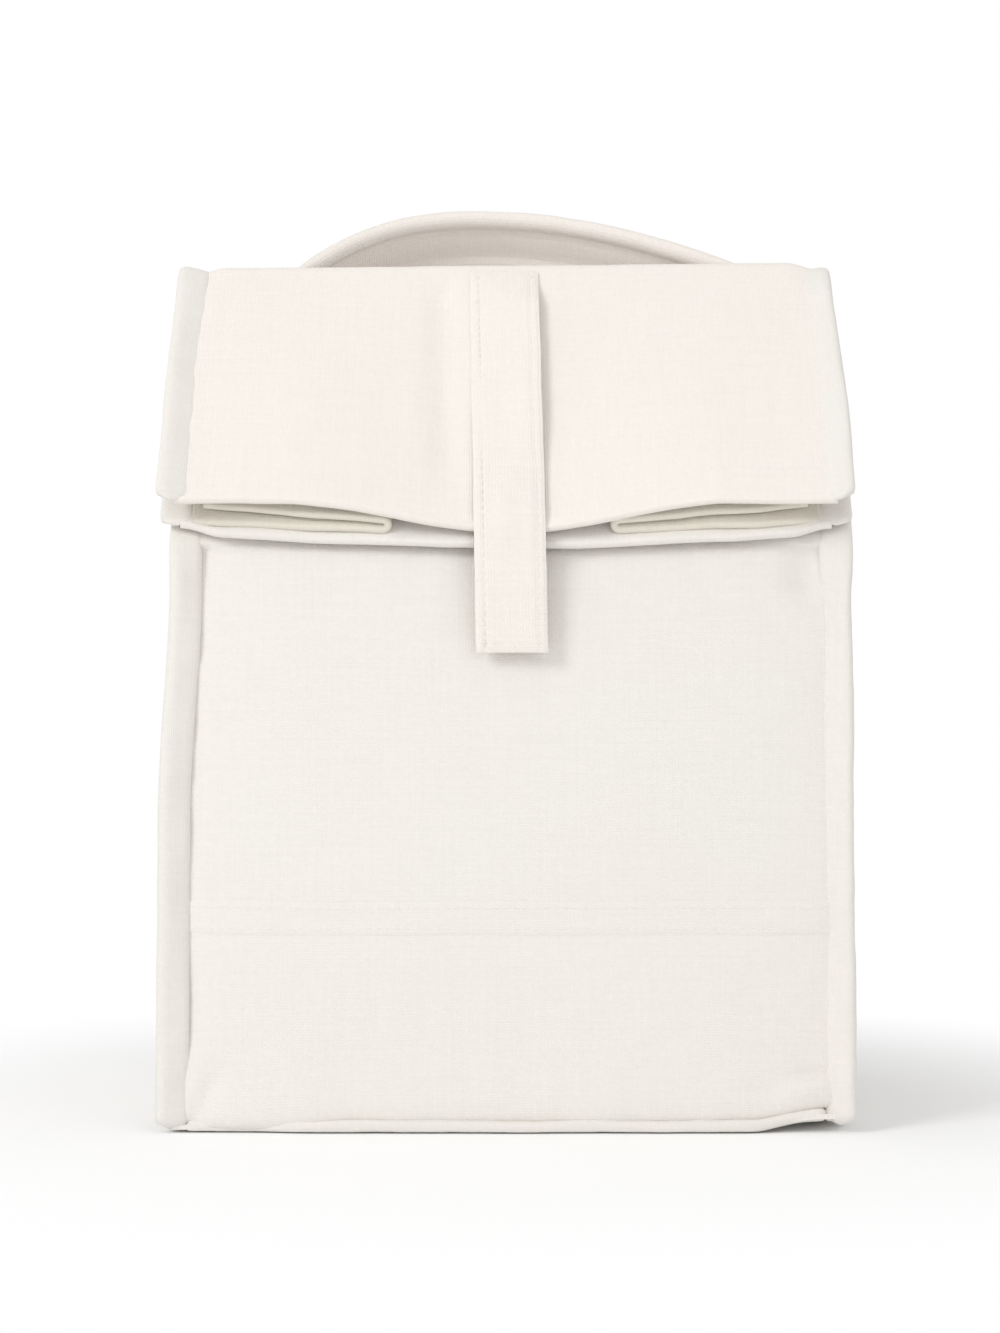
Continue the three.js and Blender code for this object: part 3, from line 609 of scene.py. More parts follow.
def pleats():
    """The four halves of the side pleats inside the flap.

    The front halves carry the rounded fold and the hem that returns behind it.
    """
    upper = lambda u: 193.0 - 5.4 * u
    rows = [np.linspace(0, 0.9, 24), np.linspace(0.915, 0.98, 6), np.linspace(0.985, 1, 5)]
    rows = np.concatenate(rows)[:, None]
    edge, cols, hem = 97, 30, 30
    for sign, name in SIDES:
        fold_x = 38.6 if sign < 0 else 35.6
        wide = edge - fold_x
        for half in ("front", "rear"):
            near = half == "front"
            u = np.linspace(0, 1, cols)
            x = edge - wide * u
            if near:
                turn = np.linspace(-90, 90, 13)[1:] * math.pi / 180
                back = np.linspace(0, 0.95, 26)[1:]
                n = 4.8 - 0.2 * ease((u - 0.5) / 0.5) - 1.6 * (1 - ease(u / 0.12))
                n = np.concatenate([n, 6.15 + 1.55 * np.sin(turn), 7.7 + 0.6 * ease(back / 0.5)])
                bend = 184.6 + (upper(1) - 184.6) * (np.sin(turn) + 1) / 2
                rim = np.concatenate([187.6 - 3.0 * u, bend, upper(1 - back)])
                x = np.concatenate([x, fold_x - 2.0 * np.cos(turn), fold_x + wide * back])
                returned = np.concatenate([np.zeros(cols + len(turn)), ease(back / 0.08)])
                u = np.concatenate([u, np.ones(len(turn)), 1 - back])
                first = -1.5 + 22 * ease((u - 0.15) / 0.4)
            else:
                n = 10.2 - 1.7 * ease((u - 0.5) / 0.3) + 1.0 * (1 - ease(u / 0.12))
                rim = upper(u) + 3.5 + 34 * np.clip((u - 0.4) / 0.6, 0, 1) ** 1.4
                returned = np.zeros(cols)
                first = -9.5 + 0 * u
            last = (FOLD[1] + OUT[1] * n - rim) / UP[1]
            first = first * (1 - returned) + (last - hem) * returned
            v = first + (last - first)[None, :] * rows
            sway = (1 - ease((u - 0.7) / 0.3))[None, :]
            away = n[None, :] + 0.45 * ripple(u * 4 + sign, rows * 3, 50 + near) * sway
            if not near:
                away = away - 3.0 * ease((u[None, :] - 0.8) / 0.2) * (1 - ease((v - 17) / 6))
            droop = 0.8 * ripple(u * 3 + 7 * sign, 0, 57 + near)[None, :] * rows**6 * sway
            yz = FOLD + OUT * away[:, :, None] + DOWN * (v + droop)[:, :, None]
            across = np.broadcast_to(sign * x[None, :, None], yz.shape[:2] + (1,))
            grid = np.concatenate([across, yz], 2)
            left = (last - first)[None, :] * (1 - rows)
            thick = rounded(1.3 + 1.2 * near * (1 - ease((left - 7) / 2)), left)
            label = f"{name}_{half}_pleat"
            # The pleats take the darker pleat canvas: painted shade for the plies under the outer
            # leaf.
            piece = shell(f"{label}_cloth", grid, thick, "tote_pleat_painted_shade_canvas", sharp=70)
            ride(piece, label, "canvas", f"{name}_{half}_gusset")


# Seams
def roll(name, middle, across, normal, wide, thick, lean, ends=(True, True), seed=0):
    """A rolled binding along middle points: a tape with a thick outer and a thin inner edge."""
    n, k, tip = len(middle), 26, 3
    phi = np.linspace(0, 2 * math.pi, k, endpoint=False)
    cos, sin = np.cos(phi), np.sin(phi)
    run = run_of(middle)
    fold = 0.80 + 0.20 * cos - 0.10 * hump(cos, -0.2, 0.35)
    flat = wide / 2 * np.sign(cos) * np.abs(cos) ** 0.8
    rings = np.zeros((n, k, 3))
    for i in range(n):
        noise = lambda size, row, more: float(ripple(run[i] / size, row, seed + more))
        swell = 1 + 0.10 * noise(14, 0, 0) + 0.07 * noise(5, 3, 1)
        high = thick[i] / 2 * np.sign(sin) * np.abs(sin) ** 0.85 * fold * swell
        scale = 1.0
        for end, gap in ((ends[0], run[i]), (ends[1], run[-1] - run[i])):
            if end and gap < tip:
                scale = min(scale, math.sqrt(max(0.02, 1 - (1 - gap / tip) ** 2)))
        tilt = lean[i] + 0.2 * noise(15, 4, 3)
        c, s = math.cos(tilt), math.sin(tilt)
        out = (flat * c - high * s) * scale + 0.35 * noise(26, 5, 4)
        up = (flat * s + high * c) * scale + 0.35 * noise(20, 7, 2)
        rings[i] = middle[i] + across[i] * out[:, None] + normal[i] * up[:, None]
    rings[:, :, 2] = np.maximum(rings[:, :, 2], 0.1)
    return tube(name, rings, "tote_binding")


def seam(name, line, sign, side, wide, thick, lean, ends, seed, lift=0.0, edge=EDGE):
    """A binding that follows a line of the profile at the left or right edge of the bag."""
    n = len(line.p)
    full = lambda v: np.broadcast_to(v, (n,))
    middle = np.zeros((n, 3))
    way = side * line.left
    middle[:, 0] = sign * edge
    middle[:, 1:] = line.p + way * full(lift)[:, None]
    across = np.broadcast_to(np.array([sign, 0.0, 0.0]), (n, 3))
    normal = np.concatenate([np.zeros((n, 1)), way], 1)
    return roll(name, middle, across, normal, wide, full(thick), full(lean), ends, seed)


def base_seam(name, middle, across, wide, thick, lean, seed):
    """A binding along one edge of the base."""
    n = len(middle)
    across, up = np.broadcast_to(across, (n, 3)), np.broadcast_to([0.0, 0.0, 1.0], (n, 3))
    thick, lean = np.full(n, thick), np.full(n, lean)
    piece = roll(f"base_{name}_seam", middle, across, up, wide, thick, lean, seed=seed)
    ride(piece, "tub", "binding", f"base_{name}_binding")


def bindings():
    """Rolled tape over every outer seam: body, neck, flap and base."""
    s = shape()
    wide, thick, fin = s.binding_width / MM, s.binding_thick / MM, s.binding_lean
    both = (True, True)
    for sign, name in SIDES:
        left = sign < 0
        low = 0.6 if left else 2.0
        line = Line([(-65.6, low), FRONT, NECK_TOP + 0.3 * UP], [16], pitch=TAPE_PITCH)
        full = thick * (1.25 if left else 1.0)
        size = full - (full - 3.4) * ease((line.s - 168) / 24)
        lean = fin * (0.35 if left else 1.0) * (1 - ease((line.s - 160) / 26))
        lift = 0.9 * (1 - ease((line.s - 150) / 30))
        edge = EDGE - (0.1 + 2.9 * ease((line.s - 95) / 70)) if left else EDGE
        broad = wide - 0.4 if left else wide
        piece = seam(
            f"{name}_front_seam", line, sign, 1, broad, size, lean, both, 11 + sign, lift, edge
        )
        nodes = (f"front_{name}_binding", f"front_neck_{name}_binding")
        ride(piece, "tub", "binding", *nodes)

        start = FOLD + PLY * OUT
        line = Line([start - 2.5 * UP, start + DOWN * (LEAF - 7.6)], [], pitch=TAPE_PITCH)
        lift = -1.0 * ease((line.s - 2) / 18)
        label = f"{name}_inner_leaf_seam"
        piece = seam(label, line, sign, 1, wide - 0.4, 3.8, 0.0, both, 15 + sign, lift)
        ride(piece, "front_flap", "binding", f"front_flap_{name}_binding")

        line = Line([(66.0, 0.6), SHOULDER, MID_ROOF + 0.5 * ROOF_UP], [14], pitch=TAPE_PITCH)
        size = thick - (thick - 4.4) * ease((line.s - 165) / 26)
        lean = fin * (1 - ease((line.s - 160) / 26)) + 0.15 * ease((line.s - 180) / 20)
        ends = (True, False)
        piece = seam(f"{name}_back_seam", line, sign, -1, wide, size, lean, ends, 19 + sign)
        blend(piece, "tub", "rear_neck", SHOULDER_BLEND, "binding", f"back_{name}_binding")

        hem = RIDGE + DOWN * (FLAP - 5.0)
        line = Line([MID_ROOF, RIDGE + (0, 2.0), hem], [4.5], pitch=TAPE_PITCH)
        top = line.mark(RIDGE + (0, 1))
        q = np.clip((line.s - top) / (line.length - top), 0, 1)
        lift = leaf_offset(np.full(len(q), sign * 99.0), q) * ease((line.s - top - 2) / 8)
        lift = lift - 1.4 * hump(line.s, top, 7) + 0.5
        lean = 0.15 + 0.20 * ease((line.s - top) / 20)
        drawn, back = (1.0, 1.0) if left else (2.0, 1.9)
        edge = EDGE - drawn + back * ease((line.s - top) / 60)
        ends = (False, True)
        piece = seam(
            f"{name}_flap_seam", line, sign, -1, wide, 4.6, lean, ends, 23 + sign, lift, edge
        )
        nodes = (f"rear_neck_{name}_binding", f"rear_flap_{name}_binding")
        blend(piece, "rear_neck", "rear_flap", RIDGE_BLEND, "binding", *nodes)

        y = np.linspace(-57, 57, 64)
        middle = np.stack([np.full(len(y), sign * 102.2), y, np.full(len(y), 3.6)], 1)
        base_seam(name, middle, [sign, 0.0, 0.0], 9.0, 5.8, 0.1, 27 + sign)

    x = np.linspace(-99.5, 99.5, 110)
    for sign, name in ((-1, "front"), (1, "back")):
        tuck, lift = 0 * x, 0 * x
        if sign < 0:
            tuck = 2.4 * (1 - ease((x + 82) / 26)) + 2.6 * ease((x - 72) / 20)
            lift = 3.4 * ease((x - 74) / 22)
        z = 1.5 + lift + 0.2 * ripple(x / 25, 2, 31)
        middle = np.stack([x, sign * (65.8 - tuck), z], 1)
        base_seam(name, middle, [0.0, sign, 0.0], 7.4, 5.0, 0.0, 35 + sign)


def base_cloth():
    """The canvas of the base, and the flat tape across the front."""
    x, y = np.meshgrid(np.linspace(-103, 103, 60), np.linspace(-67, 69, 44))
    corner = 3.2 * ease((x - 74) / 22) * ease((-y - 40) / 26)
    sag = 0.25 * ripple(x / 40, y / 40, 61) + np.where(y < -40, corner, 0)
    grid = np.stack([x, y, 1.5 + np.maximum(sag, -0.5)], -1)
    piece = shell("base_cloth", grid, 1.6, "tote_canvas")
    ride(piece, "tub", "canvas", "base_panel")

    xs, zs = np.linspace(-100.5, 100.5, 101), np.linspace(60.3, 70.6, 15)
    x, z = np.meshgrid(xs, zs)
    z = z + tape_sway(x)
    edge = np.minimum(zs - zs[0], zs[-1] - zs)[:, None]
    y = wall_y(z) - front_puff(x, z) - 0.66 - 0.12 * ease(edge / 1.6)
    grid = np.stack([x, y, z], -1)
    thick = rounded(0.6, np.broadcast_to(edge, x.shape))
    piece = shell("crease_tape_cloth", grid, thick, "tote_canvas")
    ride(piece, "tub", "binding", "crease_tape")


# Strap, closure and handle
def strap_line():
    """The strap's line, its knee over the hem, how far it strays to the right, half its width."""
    s = shape()
    knee = STRAP_HEM + OUT * (2.7 - s.sink / MM)
    line = Line([RIDGE + DOWN * 4.2 + OUT * 2.1, knee, STRAP_END], [18], pitch=1.5)
    return line, knee, -0.6 + 2.5 * line.s / line.length, s.strap_width / MM / 2


def strap():
    """The closing strap, and the hook and loop patches behind its free end."""
    line, knee, lean, half = strap_line()
    across = np.linspace(-1, 1, 33)
    inset = np.abs(np.abs(across) * half - (half - STITCH_INSET))
    thick = 2.5 * (1 - 0.55 * np.abs(across) ** 9) - 0.55 * np.exp(-((inset / 0.55) ** 2))
    ends = np.minimum(line.s, line.length - line.s)
    thick = thick[None, :] * (1 - 0.45 * (1 - ease(ends / 1.6)))[:, None]
    stand = ease((line.s - 3) / 14) * (1 - ease((line.s - 48) / 40))
    rise = 0.3 * ripple(line.s[:, None] / 30, across[None, :], 81)
    rise = rise + (1.2 + 1.6 * across[None, :]) * stand[:, None]
    grid = np.zeros((len(line.p), len(across), 3))
    sway = 0.18 * ripple(line.s / 12, 3, 82)[:, None]
    grid[:, :, 0] = lean[:, None] + across[None, :] * half + sway
    grid[:, :, 1:] = line.p[:, None, :] + line.left[:, None, :] * (-rise)[:, :, None]
    piece = shell("closing_strap", grid, thick, "tote_webbing")
    blend(piece, "rear_flap", "strap", STRAP_BLEND, "webbing", "strap", "strap_anchor")

    x, z = np.meshgrid(np.linspace(-8.6, 8.6, 15) + 2.6, np.linspace(149.5, 168, 16))
    slope = (knee[0] - STRAP_END[0]) / (STRAP_HEM[1] - STRAP_END[1])
    behind = STRAP_END[0] + (z - STRAP_END[1]) * slope + 2.0
    before = wall_y(z) - front_puff(x, z) - 1.3
    for name, body, y in (("hook", "strap", behind), ("loop", "tub", before)):
        piece = shell(f"{name}_tab", np.stack([x, y, z], -1), 1.3, "tote_hook_tape")
        ride(piece, body, "hook_tape", f"{name}_patch")


def handle():
    """The padded handle: a broad strap with a thick roll along each edge, arched over the roof."""
    axis = hinge("handle_swing")
    rise, peak, reach, foot = shape().handle_rise / MM, -6.0, 95, 3.1
    lean_up = unit(ROOF_OUT + 0.1 * ROOF_UP)
    along = np.array([-lean_up[1], lean_up[0]])
    xs = np.linspace(-reach, reach, 141)
    left = (np.clip(peak - xs, 0, None) / 64) ** 2.6
    right = 1.1 * (np.clip(xs - peak, 0, None) / 94) ** 1.8
    k = np.clip(1 - np.where(xs < peak, left, right), 0, 1)
    height = foot + rise * 1.04 * k * k / (k + 0.04)
    side = np.radians(np.linspace(-150, 150, 15))
    near = np.stack([9.0 + 2.8 * np.cos(side), 2.8 * np.sin(side)], 1)
    over = np.array([(5.4, 1.2), (2.7, 1.7), (0, 1.9), (-2.7, 1.7), (-5.4, 1.2)])
    section = np.concatenate([near, over, -near, over * (-1, -0.7)])
    slope = np.gradient(height, xs)
    rings = np.zeros((len(xs), len(section), 3))
    for i, x in enumerate(xs):
        tip = math.sqrt(max(0.05, 1 - (1 - min(x + reach, reach - x, 3) / 3) ** 2))
        squeeze = 0.62 + 0.38 * ease((height[i] - foot) / 9) + 0.05 * float(ripple(x / 9, 2, 91))
        way = 1 / math.hypot(1, slope[i])
        wide = section[:, 0] * (1 + 0.03 * float(ripple(x / 16, 5, 92))) * (0.97 + 0.03 * tip)
        up = section[:, 1] * squeeze * tip
        rings[i, :, 0] = x - up * slope[i] * way
        yz = axis + lean_up * (height[i] + up * way)[:, None]
        rings[i, :, 1:] = yz + along * wide[:, None]
    piece = tube("carrying_handle", rings, "tote_webbing", sharp=75)
    ends = (point(0, axis + 8 * ROOF_OUT), point(0, axis + 22 * ROOF_OUT))
    nodes = ("handle_cover", "handle_core", "handle_left_foot", "handle_right_foot")
    blend(piece, "rear_neck", "handle", ends, "webbing", *nodes)


# Lining
def lining():
    """One bag inside the padding, then a length in front and one behind that run into the flap."""
    count, square = 160, 0.16
    angle = np.linspace(0, 2 * math.pi, count, endpoint=False)
    cx, cy = np.cos(angle), np.sin(angle)
    levels = [(9.4, f) for f in (0.02, 0.3, 0.6, 0.85, 0.97)]
    levels += [(z, 1.0) for z in np.concatenate([[11.0], np.linspace(15, 186, 56)])]
    grid = np.zeros((len(levels), count + 1, 3))
    for i, (z, f) in enumerate(levels):
        y0, y1 = wall_y(z) + 5.2, 60.4
        x = 92.4 * np.sign(cx) * np.abs(cx) ** square
        y = (y0 + y1) / 2 + (y1 - y0) / 2 * np.sign(cy) * np.abs(cy) ** square
        inward = np.where(np.abs(x) > 80, np.maximum(crease(y, z), 0), 0)
        x = x - np.sign(x) * inward + 0.3 * ripple(angle * 6, z / 30, 101)
        x, y = x * f, (y0 + y1) / 2 + (y - (y0 + y1) / 2) * f
        grid[i, :-1] = np.stack([x, y, np.full(count, z)], 1)
        grid[i, -1] = grid[i, 0]
    piece = shell("lining_bag", grid, LINER, "tote_lining")
    sides = ("front", "back", "left", "right", "base")
    ride(piece, "tub", "lining", *[f"liner_{side}" for side in sides])

    xs = np.linspace(-93.5, 93.5, 61)
    x, ply = xs[None, :], 3.3
    near, far = FOLD - ply * OUT + ply * UP, FOLD + ply * OUT
    corners = [FRONT - 1.3 * OUT + 2 * UP, near, far + ply * UP, far + DOWN * (LEAF - 13)]
    line = Line(corners, [3.29, 3.29], pitch=LINER_PITCH)
    wave = 0.25 * ripple(x / 22, line.s[:, None] / 30, 111)
    grid = drape(line, xs, -np.abs(wave)[:, :, None] * line.left[:, None, :] * 0.5)
    piece = shell("front_neck_lining", grid, LINER, "tote_lining")
    nodes = ("front_neck_liner", "front_flap_liner")
    blend(piece, "tub", "front_flap", FLAP_BLEND, "lining", *nodes)

    hem = RIDGE + DOWN * (FLAP - 13) - 1.3 * OUT
    corners = [SHOULDER + 5 * ROOF_UP - 1.6 * ROOF_OUT, RIDGE + (0, 0.2), hem]
    line = Line(corners, [2.0], pitch=LINER_PITCH)
    top = line.mark(RIDGE)
    q = np.clip((line.s - top) / (FLAP - 2), 0, 1)[:, None]
    away = leaf_offset(x, q) * ease((line.s - top - 2) / 8)[:, None] - 0.3 * q
    grid = drape(line, xs, away[:, :, None] * OUT)
    piece = shell("rear_neck_lining", grid, LINER, "tote_lining")
    nodes = ("rear_neck_liner", "rear_flap_liner")
    blend(piece, "rear_neck", "rear_flap", RIDGE_BLEND, "lining", *nodes)


def carried():
    """Finishes for the CAD pieces that stay: the padding of the base and the base board."""
    for name, material in (("foam_base", "tote_padding"), ("base_board", "tote_board")):
        mesh = frame["nodes"][name].data
        for k in range(len(mesh.materials)):
            mesh.materials[k] = bpy.data.materials[material]


# Nodes
def feed(tree, made, inputs):
    """Sets a node's inputs from sockets or plain values."""
    for key, value in inputs.items():
        if isinstance(value, bpy.types.NodeSocket):
            tree.links.new(value, made.inputs[key])
        else:
            made.inputs[key].default_value = value
    return made


def node(tree, kind, inputs=(), **settings):
    """One node with its settings and inputs."""
    made = tree.nodes.new(kind)
    for key, value in settings.items():
        setattr(made, key, value)
    return feed(tree, made, dict(inputs))


def calc(tree, operation, *values):
    """The result of one math node."""
    return node(tree, "ShaderNodeMath", enumerate(values), operation=operation).outputs[0]


def node_group(name, kind, inputs, outputs):
    """A new node group with named sockets, its input node and its output node."""
    tree = bpy.data.node_groups.new(name, kind)
    for label, sort, *value in inputs:
        made = tree.interface.new_socket(
            name=label, in_out="INPUT", socket_type="NodeSocket" + sort
        )
        if value:
            made.default_value = value[0]
    for label, sort in outputs:
        tree.interface.new_socket(name=label, in_out="OUTPUT", socket_type="NodeSocket" + sort)
    return tree, node(tree, "NodeGroupInput").outputs, node(tree, "NodeGroupOutput")


# Finishes
def weave_group():
    """Plain weave with slubs: a height and a tint of the thread, from cloth coordinates."""
    inputs = [("Pitch", "Float", 0.0009), ("Slub", "Float", 0.5)]
    outputs = [("Height", "Float"), ("Thread", "Float")]
    g, given, out = node_group("tote_weave", "ShaderNodeTree", inputs, outputs)
    uv = node(g, "ShaderNodeUVMap", uv_map="cloth").outputs[0]
    wobble = node(g, "ShaderNodeTexNoise", {"Scale": 90, "Vector": uv}).outputs["Fac"]
    drift = calc(g, "MULTIPLY", wobble, 0.9)
    cells = []
    for way in node(g, "ShaderNodeSeparateXYZ", {0: uv}).outputs[:2]:
        cells.append(calc(g, "ADD", calc(g, "DIVIDE", way, given["Pitch"]), drift))
    whole = [calc(g, "FLOOR", cell) for cell in cells]
    crown = [calc(g, "SINE", calc(g, "MULTIPLY", calc(g, "FRACT", c), math.pi)) for c in cells]
    over = calc(g, "ABSOLUTE", calc(g, "MODULO", calc(g, "ADD", *whole), 2.0))
    passing = []
    for one, other in (crown, crown[::-1]):
        dip = calc(g, "ADD", calc(g, "MULTIPLY", other, 0.6), 0.4)
        passing.append(calc(g, "MULTIPLY", one, dip))
    pick = node(g, "ShaderNodeMix", {"Factor": over, "A": passing[0], "B": passing[1]})
    threads = []
    for stretch in ((0.03, 1.0), (1.0, 0.03)):
        spot = [calc(g, "MULTIPLY", cell, k) for cell, k in zip(cells, stretch)]
        spot = node(g, "ShaderNodeCombineXYZ", enumerate(spot)).outputs[0]
        slub = {"Scale": 0.8, "Detail": 1.0, "Vector": spot}
        threads.append(node(g, "ShaderNodeTexNoise", slub).outputs["Fac"])
    both = calc(g, "MULTIPLY", calc(g, "ADD", *threads), 0.5)
    slubs = calc(g, "MULTIPLY", both, given["Slub"])
    high = calc(g, "ADD", pick.outputs["Result"], slubs)
    feed(g, out, {"Height": high, "Thread": both})


def age_group():
    """Soft colour drift of undyed cotton and flecks, from the object's own coordinates."""
    inputs = [
        ("Color", "Color", (0.8, 0.8, 0.8, 1)),
        ("Warm", "Color", (0.8, 0.74, 0.66, 1)),
        ("Amount", "Float", 0.4),
        ("Thread", "Float", 0.5),
    ]
    g, given, out = node_group("tote_age", "ShaderNodeTree", inputs, [("Color", "Color")])
    at = node(g, "ShaderNodeTexCoord").outputs["Object"]
    cloud = node(g, "ShaderNodeTexNoise", {"Scale": 14, "Detail": 4, "Vector": at})
    fleck = node(g, "ShaderNodeTexNoise", {"Scale": 620, "Vector": at})
    share = calc(g, "SUBTRACT", cloud.outputs["Fac"], 0.3)
    share = calc(g, "MULTIPLY", share, given["Amount"])
    colours = {"Factor": share, "A": given["Color"], "B": given["Warm"]}
    mix = node(g, "ShaderNodeMix", colours, data_type="RGBA")
    tone = calc(g, "ADD", calc(g, "MULTIPLY", given["Thread"], 0.08), 0.94)
    speck = calc(g, "MULTIPLY", calc(g, "SUBTRACT", fleck.outputs["Fac"], 0.5), 0.05)
    shade = {0: mix.outputs["Result"], "Scale": calc(g, "ADD", tone, speck)}
    shade = node(g, "ShaderNodeVectorMath", shade, operation="SCALE")
    feed(g, out, {"Color": shade.outputs[0]})


def material(name):
    """A new material, its nodes and its surface."""
    made = bpy.data.materials.new(name)
    made.use_nodes = True
    return made, made.node_tree, made.node_tree.nodes["Principled BSDF"]


def cloth_material(name, colour, warm, pitch, slub, bump):
    """A woven cotton: weave and age groups under a rough surface with a little sheen."""
    _, t, surface = material(name)
    groups = bpy.data.node_groups
    weave = {"Pitch": pitch, "Slub": slub}
    weave = node(t, "ShaderNodeGroup", weave, node_tree=groups["tote_weave"])
    age = {"Color": (*colour, 1), "Warm": (*warm, 1), "Thread": weave.outputs["Thread"]}
    age = node(t, "ShaderNodeGroup", age, node_tree=groups["tote_age"])
    relief = {"Strength": bump, "Distance": 0.0004, "Height": weave.outputs["Height"]}
    look = {"Roughness": 0.92, "Specular IOR Level": 0.15, "Sheen Weight": 0.12}
    look["Base Color"] = age.outputs["Color"]
    look["Normal"] = node(t, "ShaderNodeBump", relief).outputs["Normal"]
    feed(t, surface, look)


def plain_material(name, colour, rough, scale, bump, specular=0.3):
    """A smooth or foamed plastic with a fine grain and a slow change of tone."""
    _, t, surface = material(name)
    at = node(t, "ShaderNodeTexCoord").outputs["Object"]
    grain = node(t, "ShaderNodeTexNoise", {"Scale": scale, "Detail": 3, "Vector": at})
    grain = grain.outputs["Fac"]
    ramp = node(t, "ShaderNodeValToRGB", {"Fac": grain})
    stops = zip(ramp.color_ramp.elements, (0.3, 0.7), (0.93, 1.0))
    for stop, position, tone in stops:
        stop.position, stop.color = position, (*[c * tone for c in colour], 1)
    relief = {"Strength": bump, "Distance": 0.0005, "Height": grain}
    look = {"Roughness": rough, "Specular IOR Level": specular}
    look["Base Color"] = ramp.outputs["Color"]
    look["Normal"] = node(t, "ShaderNodeBump", relief).outputs["Normal"]
    feed(t, surface, look)


def finishes():
    """Every material of the tote."""
    look = bpy.context.scene.tote_finish
    weave_group()
    age_group()
    cream, warm, flap = tuple(look.cotton), tuple(look.warm), tuple(look.flap)
    dull, bright = tuple(c * 0.985 for c in cream), tuple(min(1, c * 1.02) for c in cream)
    pitch, bump = look.weave_pitch, look.weave_bump
    cloth_material("tote_canvas", cream, warm, pitch, 0.30, bump)
    cloth_material("tote_flap_canvas", flap, warm, pitch, 0.30, bump)
    # The pleat canvas is darker and yellower than the cotton: painted shade for the plies that lie
    # in shade under the outer leaf.
    cloth_material("tote_pleat_painted_shade_canvas", tuple(look.pleat_painted_shade), warm, pitch, 0.30, bump)
    cloth_material("tote_binding", dull, warm, pitch * 0.8, 0.35, bump)
    cloth_material("tote_webbing", flap, warm, pitch * 1.2, 0.9, bump * 1.25)
    cloth_material("tote_thread", bright, warm, 0.0003, 0.2, 0.1)
    plain_material("tote_lining", (0.70, 0.71, 0.72), 0.38, 160, 0.12, 0.5)
    plain_material("tote_padding", (0.86, 0.86, 0.84), 0.85, 700, 0.3)
    plain_material("tote_board", (0.62, 0.61, 0.58), 0.6, 90, 0.1)
    plain_material("tote_hook_tape", (0.80, 0.77, 0.71), 0.95, 1500, 0.9)


# Stitches
def stitch_tree():
    """Geometry nodes that set one thread after another along a line."""
    inputs = [
        ("Geometry", "Geometry"),
        ("Pitch", "Float", 0.003),
        ("Length", "Float", 0.0021),
        ("Width", "Float", 0.00055),
        ("Seed", "Int", 1),
        ("Material", "Material"),
    ]
    outputs = [("Geometry", "Geometry")]
    g, given, out = node_group("tote_stitches", "GeometryNodeTree", inputs, outputs)
    curve = node(g, "GeometryNodeMeshToCurve", {0: given["Geometry"]}).outputs[0]
    step = {"Curve": curve, "Length": given["Pitch"]}
    step = node(g, "GeometryNodeResampleCurve", step, mode="LENGTH")
    thread = node(g, "GeometryNodeMeshIcoSphere", {"Radius": 0.5, "Subdivisions": 2})
    turn = {"Vector": node(g, "GeometryNodeInputTangent").outputs[0]}
    turn = node(g, "FunctionNodeAlignRotationToVector", turn, axis="X")
    vary = node(g, "FunctionNodeRandomValue", {2: 0.9, 3: 1.08, "Seed": given["Seed"]})
    long = calc(g, "MULTIPLY", given["Length"], vary.outputs[1])
    size = node(g, "ShaderNodeCombineXYZ", enumerate((long, given["Width"], given["Width"])))
    spots = {
        "Points": step.outputs[0],
        "Instance": thread.outputs[0],
        "Rotation": turn.outputs[0],
        "Scale": size.outputs[0],
    }
    spots = node(g, "GeometryNodeInstanceOnPoints", spots).outputs[0]
    real = node(g, "GeometryNodeRealizeInstances", {0: spots}).outputs[0]
    paint = {"Geometry": real, "Material": given["Material"]}
    paint = node(g, "GeometryNodeSetMaterial", paint)
    feed(g, out, {"Geometry": paint.outputs[0]})


def stitched(name, lines, seed):
    """Rows of stitches as a plain mesh, from lines of millimetre points."""
    verts, edges = [], []
    for line in lines:
        first = len(verts)
        verts += (np.asarray(line) * MM).tolist()
        edges += [(first + k, first + k + 1) for k in range(len(line) - 1)]
    mesh = bpy.data.meshes.new(name)
    mesh.from_pydata(verts, edges, [])
    obj = place(name, mesh)
    tree = bpy.data.node_groups["tote_stitches"]
    modifier = obj.modifiers.new("stitches", "NODES")
    modifier.node_group = tree
    pitch = shape().stitch
    values = {"Pitch": pitch, "Length": pitch * 0.72, "Width": 0.0005, "Seed": seed}
    values["Material"] = bpy.data.materials["tote_thread"]
    for item in tree.interface.items_tree:
        if item.in_out == "INPUT" and item.name in values:
            modifier[item.identifier] = values[item.name]
    shown = obj.evaluated_get(bpy.context.evaluated_depsgraph_get())
    made = bpy.data.meshes.new_from_object(shown)
    obj.modifiers.remove(modifier)
    obj.data = made
    made.name = name
    if not made.polygons:
        raise RuntimeError(f"{name}: no stitches were made")
    made.shade_smooth()
    if "cloth" not in made.uv_layers:
        made.uv_layers.new(name="cloth")
    return obj


